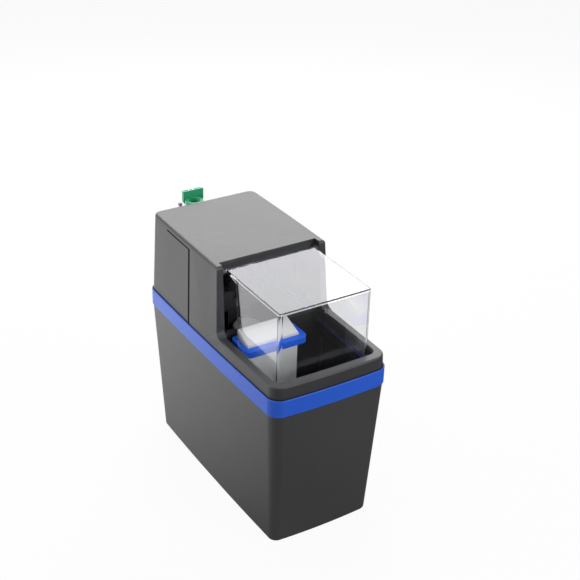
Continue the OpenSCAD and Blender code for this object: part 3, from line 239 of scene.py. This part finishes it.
def buildSeamShadeMask(look):
    group, source, sink = newGroup("seamLine", look, {"Mask": 0.0})
    place = addNode(group, "ShaderNodeTexCoord", (-900, -300)).outputs["Object"]
    parts = addNode(group, "ShaderNodeSeparateXYZ", (-700, -300), Vector=place).outputs
    rise = addMath(group, "SUBTRACT", (-500, 100), parts["Z"], source["Base"])
    leaned = addMath(group, "MULTIPLY", (-300, 100), rise, source["Lean"])
    seamY = addMath(group, "ADD", (-100, 100), leaned, source["Foot"])
    offset = addMath(group, "SUBTRACT", (100, 100), parts["Y"], seamY)
    away = addMath(group, "ABSOLUTE", (300, 100), offset)
    upright = addMath(group, "LESS_THAN", (500, 100), away, source["Half"])
    below = addMath(group, "LESS_THAN", (300, -200), parts["Z"], source["Top"])
    foot = addMath(group, "SUBTRACT", (100, -350), source["Top"], source["Drop"])
    above = addMath(group, "GREATER_THAN", (300, -350), parts["Z"], foot)
    behind = addMath(group, "GREATER_THAN", (300, -500), parts["Y"], seamY)
    ahead = addMath(group, "LESS_THAN", (300, -650), parts["Y"], source["Rear"])
    level = addOverlap(group, (450, -500), behind, ahead, above)
    strip = addMath(group, "MAXIMUM", (700, -100), upright, level)
    setInputs(group, sink, Mask=addOverlap(group, (800, 0), strip, below))
    return group


# Mask of painted shade on a hollow moulding's inner faces, below a given height: a face counts where its
# distance from the middle, measured along its normal, is under Turned, in metres
def buildInnerShadeMask():
    group, source, sink = newGroup("innerFaces", {"Centre": (0.0, 0.0, 0.0), "Top": 1.0, "Turned": -0.004},
                                   {"Mask": 0.0})
    coords = addNode(group, "ShaderNodeTexCoord", (-900, -300)).outputs
    height = addNode(group, "ShaderNodeSeparateXYZ", (-700, -500), Vector=coords["Object"]).outputs["Z"]
    offset = addInOrder(group, "ShaderNodeVectorMath", (-700, 0), (coords["Object"], source["Centre"]),
                        operation="SUBTRACT").outputs["Vector"]
    level = addInOrder(group, "ShaderNodeVectorMath", (-500, 0), (offset, (1.0, 1.0, 0.0)),
                       operation="MULTIPLY").outputs["Vector"]
    outward = addInOrder(group, "ShaderNodeVectorMath", (-300, 0), (level, coords["Normal"]),
                         operation="DOT_PRODUCT").outputs["Value"]
    inward = addMath(group, "LESS_THAN", (-100, 0), outward, source["Turned"])
    below = addMath(group, "LESS_THAN", (-100, -400), height, source["Top"])
    setInputs(group, sink, Mask=addOverlap(group, (200, 0), inward, below))
    return group


mouldGrain = buildMouldGrain(grainLook)
handledTone = buildWornAndEdgeLitTone(toneLook)
dustFilm = buildDustFilm(dustLook)
seamLine = buildSeamShadeMask(seamPlace)
innerFaces = buildInnerShadeMask()
print("node groups built")


def startMaterial(name):
    material = bpy.data.materials.new(name)
    material.use_nodes = True
    tree = material.node_tree
    tree.nodes.clear()
    shader = addNode(tree, "ShaderNodeBsdfPrincipled", (500, 0))
    output = addNode(tree, "ShaderNodeOutputMaterial", (900, 0), Surface=shader.outputs["BSDF"])
    return material, tree, shader, output


# Moulded plastic: drift, edges in a second tone that is wear and painted edge light, dust on top and a grain
# in the bump. These values hold where a finish has none of its own
plainPlastic = {"edge": 0.6, "drift": 0.12, "scuffs": 0.1, "dust": 0.02, "grainCoarse": 0.3,
                "grainHeight": 0.0003, "uneven": 0.12, "specular": 0.5, "inner": 0.0,
                "innerRadius": (0.006, 0.006, 0.005), "innerScale": 0.6}


def mouldedPlastic(name, ownLook):
    look = {**plainPlastic, **ownLook}
    material, tree, shader, _ = startMaterial(name)
    tone = addNode(tree, "ShaderNodeGroup", (-500, 200), node_tree=handledTone,
                   Colour=(*look["colour"], 1), Rubbed=(*look["rubbed"], 1), Edge=look["edge"],
                   Drift=look["drift"], Scuffs=look["scuffs"]).outputs["Colour"]
    shade = addNode(tree, "ShaderNodeGroup", (-200, 200), node_tree=dustFilm, Colour=tone,
                    Amount=look["dust"]).outputs["Colour"]
    grain = addNode(tree, "ShaderNodeGroup", (-500, -300), node_tree=mouldGrain,
                    Coarse=look["grainCoarse"]).outputs
    rough = addSpan(tree, (0, -100), grain["Mask"], 0.0, 1.0, look["rough"], look["rough"] + look["uneven"])
    # Painted shade on inner faces and a painted shade line in the seam, mixed into the colour
    if "inside" in look:
        inside = look["inside"]
        inner = addNode(tree, "ShaderNodeGroup", (-200, 500), node_tree=innerFaces, Centre=inside["centre"],
                        Top=inside["top"]).outputs["Mask"]
        shade = addMix(tree, "RGBA", (50, 400), inner, shade, (*inside["colour"], 1))
        rough = addMix(tree, "FLOAT", (50, 200), inner, rough, inside["rough"])
    if "seam" in look:
        seam = addNode(tree, "ShaderNodeGroup", (50, 700), node_tree=seamLine).outputs["Mask"]
        shade = addMix(tree, "RGBA", (250, 400), seam, shade, (*look["seam"]["colour"], 1))
        rough = addMix(tree, "FLOAT", (250, 200), seam, rough, look["seam"]["rough"])
    bump = addBump(tree, grain["Height"], look["bump"], look["grainHeight"])
    setInputs(tree, shader, Base_Color=shade, Roughness=rough, Normal=bump,
              Specular_IOR_Level=look["specular"])
    if look["inner"]:
        setInputs(tree, shader, Subsurface_Weight=look["inner"], Subsurface_Radius=look["innerRadius"],
                  Subsurface_Scale=look["innerScale"])
    return material


# Clear lid plastic with a slightly uneven, wiped surface. Light reaches the bay through it. Its sharp edges
# take a darker violet tint, a painted edge shade, and the front part of its walls glows in a narrow strip
# under the top, a painted highlight standing in for a bright edge line: the strip masks both colour and
# strength of the glow
def clearPlastic(name, look):
    material, tree, shader, output = startMaterial(name)
    coords = addNode(tree, "ShaderNodeTexCoord", (-1100, -200)).outputs
    pointed = addNode(tree, "ShaderNodeNewGeometry", (-900, 300)).outputs["Pointiness"]
    # Painted edge shade: a darker violet tint on sharp edges
    edge = addSpan(tree, (-650, 300), pointed, *look["edgeSpan"])
    tint = addMix(tree, "RGBA", (-300, 300), edge, (*look["colour"], 1), (*look["edgeColour"], 1))
    haze = addNoise(tree, (-650, -100), coords["Object"], look["hazePerMetre"], detail=4.0)
    rough = addSpan(tree, (-200, -100), haze, *look["hazeSpan"], look["rough"], look["rough"] + look["haze"])
    wiped = addNode(tree, "ShaderNodeMapping", (-900, -450), Vector=coords["Object"], Scale=look["wipe"],
                    Rotation=look["wipeTurn"]).outputs["Vector"]
    wave = addNoise(tree, (-650, -450), wiped, look["wavePerMetre"], detail=3.0, rough=0.55)
    bump = addBump(tree, wave, look["wave"], look["waveHeight"])
    # Painted highlight: the glowing strip under the top of the walls
    parts = addNode(tree, "ShaderNodeSeparateXYZ", (-900, 700), Vector=coords["Object"]).outputs
    facing = addNode(tree, "ShaderNodeSeparateXYZ", (-900, 900), Vector=coords["Normal"]).outputs
    slope = addMath(tree, "ABSOLUTE", (-750, 900), facing["Z"])
    upright = addMath(tree, "LESS_THAN", (-600, 900), slope, look["uprightTo"])
    over = addMath(tree, "GREATER_THAN", (-600, 750), parts["Z"], look["glowFrom"])
    under = addMath(tree, "LESS_THAN", (-600, 600), parts["Z"], look["glowTo"])
    ahead = addMath(tree, "LESS_THAN", (-600, 450), parts["Y"], look["glowRear"])
    strip = addOverlap(tree, (-400, 700), upright, ahead, over, under)
    glow = addMath(tree, "MULTIPLY", (100, 700), strip, look["glow"])
    setInputs(tree, shader, Base_Color=tint, Roughness=rough, Normal=bump, IOR=look["ior"],
              Transmission_Weight=1.0, Specular_Tint=(*look["sheen"], 1), Emission_Color=strip,
              Emission_Strength=glow)
    path = addNode(tree, "ShaderNodeLightPath", (300, 300)).outputs
    through = addNode(tree, "ShaderNodeBsdfTransparent", (500, 200), Color=(*look["shadow"], 1))
    mixShaders(tree, (720, 0), path["Is Shadow Ray"], shader.outputs["BSDF"], through.outputs["BSDF"], output)
    return material


# Turned or drawn metal with fine rings of tool marks
def turnedMetal(name, look):
    material, tree, shader, _ = startMaterial(name)
    place = addNode(tree, "ShaderNodeTexCoord", (-900, 0)).outputs["Object"]
    stretched = addNode(tree, "ShaderNodeMapping", (-700, 0), Vector=place, Scale=look["stretch"])
    marks = addNoise(tree, (-500, 0), stretched.outputs["Vector"], look["perMetre"], detail=3.0)
    tint = addMix(tree, "RGBA", (-200, 200), marks, (*look["colour"], 1), (*look["dull"], 1))
    rough = addSpan(tree, (-200, -100), marks, 0.0, 1.0, look["rough"], look["rough"] + look["uneven"])
    bump = addBump(tree, marks, look["bump"], look["height"])
    setInputs(tree, shader, Base_Color=tint, Roughness=rough, Normal=bump, Metallic=1.0)
    return material


# Amber resin beads, darker towards the gaps between them: painted shade
def resinBeads(name, look):
    material, tree, shader, _ = startMaterial(name)
    place = addNode(tree, "ShaderNodeTexCoord", (-900, 0)).outputs["Object"]
    beads = addNode(tree, "ShaderNodeTexVoronoi", (-650, 0), Vector=place, Scale=look["perMetre"])
    distance = beads.outputs["Distance"]
    tint = addMix(tree, "RGBA", (-200, 200), distance, (*look["colour"], 1), (*look["dark"], 1))
    bump = addBump(tree, distance, look["bump"], look["height"], invert=True)
    setInputs(tree, shader, Base_Color=tint, Roughness=look["rough"], Normal=bump)
    return material


lidTop = nodeBox("salt_lid")[1].z
# Painted shade: a near-black colour on the inner faces of the hollow mouldings, where shade falls
paintedInsideShade = {"centre": (0.0, 0.0, 0.0), "top": 1.0, "colour": (0.010, 0.010, 0.010), "rough": 0.8}
toolMarks = {"rough": 0.22, "uneven": 0.2, "stretch": (8.0, 1.0, 1.0), "perMetre": 700.0, "bump": 0.3,
             "height": 0.0002}
# A finish for each of the frame's material slots; the second tone of each is that of scratches and edges:
# wear, and on edges painted light as well
finishes = {
    "cabinet_plastic": mouldedPlastic("cabinetPlastic", {
        "colour": (0.043, 0.043, 0.044), "rubbed": (0.070, 0.070, 0.073), "rough": 0.40, "bump": 0.20,
        "drift": 0.10, "edge": 0.5, "scuffs": 0.06, "dust": 0.012, "inside": paintedInsideShade}),
    "hood_plastic": mouldedPlastic("hoodPlastic", {
        "colour": (0.031, 0.031, 0.033), "rubbed": (0.085, 0.086, 0.090), "rough": 0.38, "bump": 0.18,
        "specular": 0.4, "scuffs": 0.06, "dust": 0.015,
        # painted shade: near black along the seam's groove
        "seam": {"colour": (0.004, 0.004, 0.004), "rough": 1.0},
        "inside": {**paintedInsideShade, "centre": (0.0, -0.130, 0.0), "top": 0.3520}}),
    "blue_plastic": mouldedPlastic("bluePlastic", {
        "colour": (0.008, 0.095, 0.620), "rubbed": (0.040, 0.180, 0.800), "rough": 0.30, "bump": 0.08,
        "drift": 0.10, "edge": 0.7, "scuffs": 0.05, "dust": 0.01, "specular": 0.4,
        # painted shade: dark violet on the band's inner faces
        "inside": {**paintedInsideShade, "colour": (0.075, 0.062, 0.430), "rough": 0.5}}),
    "clear_plastic": clearPlastic("clearPlastic", {
        "colour": (0.975, 0.978, 0.988), "edgeColour": (0.62, 0.60, 0.80), "edgeSpan": (0.53, 0.60),
        "shadow": (0.90, 0.91, 0.93), "sheen": (0.94, 0.95, 1.0), "ior": 1.55, "rough": 0.0,
        "haze": 0.015, "hazePerMetre": 35.0, "hazeSpan": (0.4, 0.75),
        "wave": 0.006, "wavePerMetre": 9.0, "waveHeight": 0.001,
        "wipe": (1.2, 7.0, 3.0), "wipeTurn": (0.0, 0.0, 0.12),
        # painted highlight: strength and heights of the glowing strip
        "glow": 0.34, "glowFrom": lidTop - 0.0045, "glowTo": lidTop - 0.0021, "glowRear": -0.045,
        "uprightTo": 0.3}),
    "frosted_plastic": mouldedPlastic("frostedPlastic", {
        "colour": (0.82, 0.84, 0.80), "rubbed": (0.86, 0.87, 0.84), "rough": 0.5, "bump": 0.12,
        "inner": 0.5}),
    # white: its darker edge tone is wear and painted edge shade
    "white_plastic": mouldedPlastic("whitePlastic", {
        "colour": (0.600, 0.600, 0.590), "rubbed": (0.500, 0.500, 0.485), "rough": 0.45, "bump": 0.12,
        "drift": 0.2, "inner": 0.2}),
    "black_plastic": mouldedPlastic("blackPlastic", {
        "colour": (0.016, 0.016, 0.017), "rubbed": (0.050, 0.050, 0.053), "rough": 0.50, "bump": 0.15,
        "specular": 0.25}),
    # green: its much paler edge tone is wear and a painted highlight
    "green_plastic": mouldedPlastic("greenPlastic", {
        "colour": (0.020, 0.400, 0.190), "rubbed": (0.360, 0.760, 0.520), "rough": 0.3, "bump": 0.06,
        "edge": 1.6, "drift": 0.06, "inner": 0.15}),
    "tank_plastic": mouldedPlastic("tankPlastic", {
        "colour": (0.50, 0.52, 0.52), "rubbed": (0.62, 0.63, 0.62), "rough": 0.4, "bump": 0.3,
        "grainCoarse": 0.7}),
    "cap_plastic": mouldedPlastic("capPlastic", {
        "colour": (0.56, 0.56, 0.55), "rubbed": (0.68, 0.68, 0.66), "rough": 0.4, "bump": 0.12}),
    "gear_plastic": mouldedPlastic("gearPlastic", {
        "colour": (0.66, 0.64, 0.57), "rubbed": (0.74, 0.72, 0.66), "rough": 0.4, "bump": 0.06}),
    "float_plastic": mouldedPlastic("floatPlastic", {
        "colour": (0.62, 0.20, 0.03), "rubbed": (0.76, 0.34, 0.10), "rough": 0.4, "bump": 0.08}),
    "seal_rubber": mouldedPlastic("sealRubber", {
        "colour": (0.012, 0.012, 0.012), "rubbed": (0.04, 0.04, 0.04), "rough": 0.6, "bump": 0.1}),
    "resin_beads": resinBeads("resinBeads", {
        "colour": (0.560, 0.250, 0.050), "dark": (0.260, 0.090, 0.015), "rough": 0.3, "perMetre": 900.0,
        "bump": 0.8, "height": 0.0005}),
    "pin_steel": turnedMetal("pinSteel", {
        **toolMarks, "colour": (0.60, 0.60, 0.62), "dull": (0.42, 0.42, 0.44)}),
    "piston_brass": turnedMetal("pistonBrass", {
        **toolMarks, "colour": (0.78, 0.57, 0.22), "dull": (0.58, 0.40, 0.15)}),
}
for nodeName, node in cadNodes.items():
    node.data.materials.clear()
    node.data.materials.append(finishes[slotOf[nodeName]])
print("materials assigned to", len(cadNodes), "nodes")

mergeWithin = 2e-6  # metres between corners that are one


# A copy of a CAD node to show in its place, and its mesh with the loose triangles merged
def startCopy(nodeName, ending):
    piece = addObject(nodeName + ending, cadNodes[nodeName].data.copy())
    shape = bmesh.new()
    shape.from_mesh(piece.data)
    bmesh.ops.remove_doubles(shape, verts=shape.verts, dist=mergeWithin)
    return piece, shape


def writeShape(piece, shape):
    shape.to_mesh(piece.data)
    shape.free()


# Faces are smooth, and edges sharper than the angle in degrees stay sharp
def smoothFaces(piece, angle):
    for polygon in piece.data.polygons:
        polygon.use_smooth = True
    piece.data.set_sharp_from_angle(angle=math.radians(angle))


def showInstead(piece, nodeName):
    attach(piece, bodyOf[nodeName])
    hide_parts(nodeName)


# Mouldings shown with merged faces, softened edges and smooth shading: faces within "flatWithin" degrees
# are one, and edges sharper than "angle" degrees are rounded by "edge" mm. The plain values hold where a
# moulding has none of its own
plainMoulding = {"angle": 34, "segments": 2, "flatWithin": 0.4, "flatWeight": 100}
mouldings = {
    "cabinet": {"edge": 0.8},
    "band_ring": {"edge": 0.5},
    "hood": {"edge": 0.7},
    "rear_cover": {"edge": 0.4},
    "salt_lid": {"edge": 1.3, "angle": 30, "segments": 4},
    "well_collar": {"edge": 0.5, "angle": 30},
    "well_cap": {"edge": 0.5, "angle": 30},
    "brine_well": {"edge": 0.3, "angle": 30},
    "front_neck_cap": {"edge": 0.4},
    "rear_neck_cap": {"edge": 0.4},
    "hose_bracket": {"edge": 0.5},
    "drain_elbow": {"edge": 0.15},
    "drain_ring": {"edge": 0.3},
    "overflow_elbow": {"edge": 0.3},
    "partition": {"edge": 0.3},
    "manifold": {"edge": 0.6},
    "meter_housing": {"edge": 0.4},
    "meter_cover": {"edge": 0.4},
    "front_tank": {"edge": 0.0},
    "rear_tank": {"edge": 0.0},
}


def softenedCopy(nodeName, ownLook):
    look = {**plainMoulding, **ownLook}
    piece, shape = startCopy(nodeName, "_skin")
    bmesh.ops.dissolve_limit(shape, angle_limit=math.radians(look["flatWithin"]), verts=shape.verts,
                             edges=shape.edges, delimit={"NORMAL"})
    writeShape(piece, shape)
    smoothFaces(piece, look["angle"])
    if look["edge"] > 0:
        bevel = piece.modifiers.new("softEdges", "BEVEL")
        bevel.width = look["edge"] * mm
        bevel.segments = look["segments"]
        bevel.limit_method = "ANGLE"
        bevel.angle_limit = math.radians(look["angle"])
        bevel.use_clamp_overlap = True
    weighted = piece.modifiers.new("flatFaces", "WEIGHTED_NORMAL")
    weighted.keep_sharp = True
    weighted.weight = look["flatWeight"]
    showInstead(piece, nodeName)


for nodeName, look in mouldings.items():
    softenedCopy(nodeName, look)
print("softened", len(mouldings), "mouldings")

# Pipe ends shown with a real thread: the ring grooves of each are taken out and a helix put in their
# place. In mm, it starts "fromEnd" short of the pipe's end, keeps "lead" free at both ends for the step
# to the pipe, and evens out over "runOut". "oldDepth" and "margin" bound the faces taken out, and
# "around" and "rows" are the helix's corners round the pipe and along it
threadLook = {"nodes": ("inlet_pipe", "outlet_pipe"), "fromEnd": 3.0, "length": 27.0, "crest": 13.2,
              "depth": 1.05, "pitch": 1.81, "lead": 0.5, "runOut": 1.2, "runOutShare": 0.35,
              "oldDepth": 1.0, "margin": 0.1, "around": 64, "rows": 150, "angle": 34}


# Distance of the thread's surface from the axis, in mm; turn is a share of a full turn
def threadReach(look, turn, along, span):
    wave = abs(((along / look["pitch"] - turn) % 1.0) * 2 - 1)
    fade = min(1.0, along / look["runOut"], (span - along) / look["runOut"])
    return look["crest"] - look["depth"] * (wave * fade + look["runOutShare"] * (1.0 - fade))


def threadedCopy(nodeName, look):
    piece, shape = startCopy(nodeName, "_threaded")
    low, high = nodeBox(nodeName)
    middle = (low + high) / 2
    end = high.y / mm - look["fromEnd"]
    start = end - look["length"]
    gone = []
    for face in shape.faces:
        centre = face.calc_center_median()
        reach = math.hypot(centre.x - middle.x, centre.z - middle.z) / mm
        inSpan = start + look["margin"] / 2 < centre.y / mm < end - look["margin"] / 2
        if inSpan and look["crest"] - look["oldDepth"] < reach < look["crest"] + look["margin"]:
            gone.append(face)
    bmesh.ops.delete(shape, geom=gone, context="FACES")
    made = bmesh.ops.create_grid(shape, x_segments=look["around"], y_segments=look["rows"], size=0.5)
    span = look["length"] - 2 * look["lead"]
    for vert in made["verts"]:  # the grid is one unit wide: x is the turn, and y the way along the pipe
        turn, along = vert.co.x + 0.5, (vert.co.y + 0.5) * span
        reach = threadReach(look, turn, along, span) * mm
        vert.co = Vector((middle.x + reach * math.cos(turn * math.tau),
                          (start + look["lead"] + along) * mm,
                          middle.z - reach * math.sin(turn * math.tau)))
    bmesh.ops.remove_doubles(shape, verts=shape.verts, dist=mergeWithin)
    rims = [edge for edge in shape.edges if edge.is_boundary]
    for level in (start, end):
        near = [edge for edge in rims if abs(edge.verts[0].co.y / mm - level) < 2 * look["lead"]]
        bmesh.ops.bridge_loops(shape, edges=near)
    bmesh.ops.recalc_face_normals(shape, faces=shape.faces)
    writeShape(piece, shape)
    stored = piece.data.attributes.get("custom_normal")  # the CAD mesh's own, which no longer fit
    if stored:
        piece.data.attributes.remove(stored)
    smoothFaces(piece, look["angle"])
    showInstead(piece, nodeName)


for nodeName in threadLook["nodes"]:
    threadedCopy(nodeName, threadLook)
print("threads cut on", len(threadLook["nodes"]), "pipe ends")


# One for rays that look, from the camera or on through glass and gloss, and none for rays that light
def addSeenMask(tree):
    path = addNode(tree, "ShaderNodeLightPath", (-400, 500)).outputs
    seen = addMath(tree, "MAXIMUM", (-200, 500), path["Is Camera Ray"], path["Is Transmission Ray"])
    return path, addMath(tree, "MAXIMUM", (0, 500), seen, path["Is Glossy Ray"])


# Floor: white paper to the camera, with a faint shadow; its mirror image is white behind on the left and
# dark in front on the right. Edges are distances in metres along "towards"
floorLook = {"size": 14.0, "colour": (0.80, 0.80, 0.80), "rough": 0.9, "shadowPart": 0.06, "dark": 0.03,
             "bright": 1.9, "towards": (-0.30, 0.95, 0.0), "darkEdge": -0.30, "brightEdge": 0.75,
             "frontEdge": -0.60, "backEdge": -0.20}


def makeFloor(look):
    shape = bmesh.new()
    bmesh.ops.create_grid(shape, x_segments=1, y_segments=1, size=look["size"] / 2)
    floor = addObject("floor", bpy.data.meshes.new("floor"))
    writeShape(floor, shape)
    material, tree, shader, output = startMaterial("floorPaper")
    setInputs(tree, shader, Base_Color=(*look["colour"], 1), Roughness=look["rough"], Specular_IOR_Level=0.0)
    path, seen = addSeenMask(tree)
    place = addNode(tree, "ShaderNodeTexCoord", (-700, 100)).outputs["Object"]
    distance = addInOrder(tree, "ShaderNodeVectorMath", (-500, 100), (place, look["towards"]),
                          operation="DOT_PRODUCT").outputs["Value"]
    mirrored = addSpan(tree, (-300, 100), distance, look["darkEdge"], look["brightEdge"], look["dark"],
                       look["bright"])
    refracted = addSpan(tree, (-300, -100), distance, look["frontEdge"], look["backEdge"], look["dark"])
    glossy = addMix(tree, "FLOAT", (-150, 0), path["Is Transmission Ray"], mirrored, refracted)
    strength = addMix(tree, "FLOAT", (0, 200), path["Is Glossy Ray"], 1.0, glossy)
    glow = addNode(tree, "ShaderNodeEmission", (500, 300), Color=(1, 1, 1, 1), Strength=strength)
    share = addMath(tree, "MULTIPLY", (350, 500), seen, 1.0 - look["shadowPart"])
    mixShaders(tree, (750, 100), share, shader.outputs["BSDF"], glow.outputs["Emission"], output)
    floor.data.materials.append(material)


# World: white where it is seen, dim where it lights
worldLook = {"seen": 1.0, "fill": 0.10}


def makeWorld(look):
    world = bpy.data.worlds.new("studio")
    bpy.context.scene.world = world
    world.use_nodes = True
    tree = world.node_tree
    tree.nodes.clear()
    _, seen = addSeenMask(tree)
    fillSky = addNode(tree, "ShaderNodeBackground", (0, 0), Color=(1, 1, 1, 1), Strength=look["fill"])
    seenSky = addNode(tree, "ShaderNodeBackground", (0, 200), Color=(1, 1, 1, 1), Strength=look["seen"])
    output = addNode(tree, "ShaderNodeOutputWorld", (450, 100))
    mixShaders(tree, (250, 100), seen, fillSky.outputs["Background"], seenSky.outputs["Background"], output)


makeFloor(floorLook)
makeWorld(worldLook)
print("floor and world made")

# Soft boxes: one overhead, one on the left, one in front, a wide bright panel behind on the right whose
# mirror image lies on the hood's top and on the lid, and a small one behind on the left for the hood's
# upper edges. Places and sizes are in metres, power is in watts
lamps = {
    "overhead": {"place": (-0.3, 0.2, 2.6), "aim": (0.0, 0.0, 0.35), "size": (1.8, 1.8), "power": 22.0},
    "leftSide": {"place": (-2.3, 0.8, 1.1), "aim": (0.0, 0.0, 0.3), "size": (1.8, 1.8), "power": 22.0},
    "front": {"place": (1.2, -2.7, 1.2), "aim": (0.0, 0.0, 0.3), "size": (1.6, 1.6), "power": 46.0},
    "mirrorPanel": {"place": (1.25, 1.95, 1.75), "aim": (0.0, 0.0, 0.5), "size": (2.6, 2.0), "power": 68.0},
    "edgePanel": {"place": (-1.35, 2.05, 1.75), "aim": (0.0, 0.0, 0.5), "size": (1.5, 1.5), "power": 11.0},
}


def placeLamp(name, look):
    lampData = bpy.data.lights.new(name, "AREA")
    lampData.shape = "RECTANGLE"
    lampData.size, lampData.size_y = look["size"]
    lampData.energy = look["power"]
    lamp = addObject(name, lampData)
    lamp.location = look["place"]
    lamp.rotation_mode = "QUATERNION"
    lamp.rotation_quaternion = (Vector(look["aim"]) - Vector(look["place"])).to_track_quat("-Z", "Y")
    lamp.visible_camera = False
    lamp.visible_transmission = False


for lampName, lampLook in lamps.items():
    placeLamp(lampName, lampLook)
print("lights placed")

# Camera at the photograph's angle: front left, from above, with a slight roll. Angles are in degrees,
# places in metres, lens and sensor in mm
cameraLook = {"azimuth": -32.46, "elevation": 28.89, "roll": 1.65, "distance": 2.36,
              "target": (0.0612, 0.0, 0.3924), "lens": 75.1, "sensor": 36.0}


def placeCamera(look):
    azimuth, elevation, roll = (math.radians(look[angle]) for angle in ("azimuth", "elevation", "roll"))
    backward = Vector((math.sin(azimuth) * math.cos(elevation), -math.cos(azimuth) * math.cos(elevation),
                       math.sin(elevation)))
    level = (-backward).cross(Vector((0, 0, 1))).normalized()
    upward = level.cross(-backward)
    right = level * math.cos(roll) + upward * math.sin(roll)
    top = -level * math.sin(roll) + upward * math.cos(roll)
    turn = Matrix((right, top, backward)).transposed().to_4x4()
    cameraData = bpy.data.cameras.new("camera")
    cameraData.lens = look["lens"]
    cameraData.sensor_width = look["sensor"]
    camera = addObject("camera", cameraData)
    camera.matrix_world = Matrix.Translation(Vector(look["target"]) + backward * look["distance"]) @ turn
    bpy.context.scene.camera = camera


placeCamera(cameraLook)
bpy.context.scene.view_settings.view_transform = "Standard"
print("camera set")
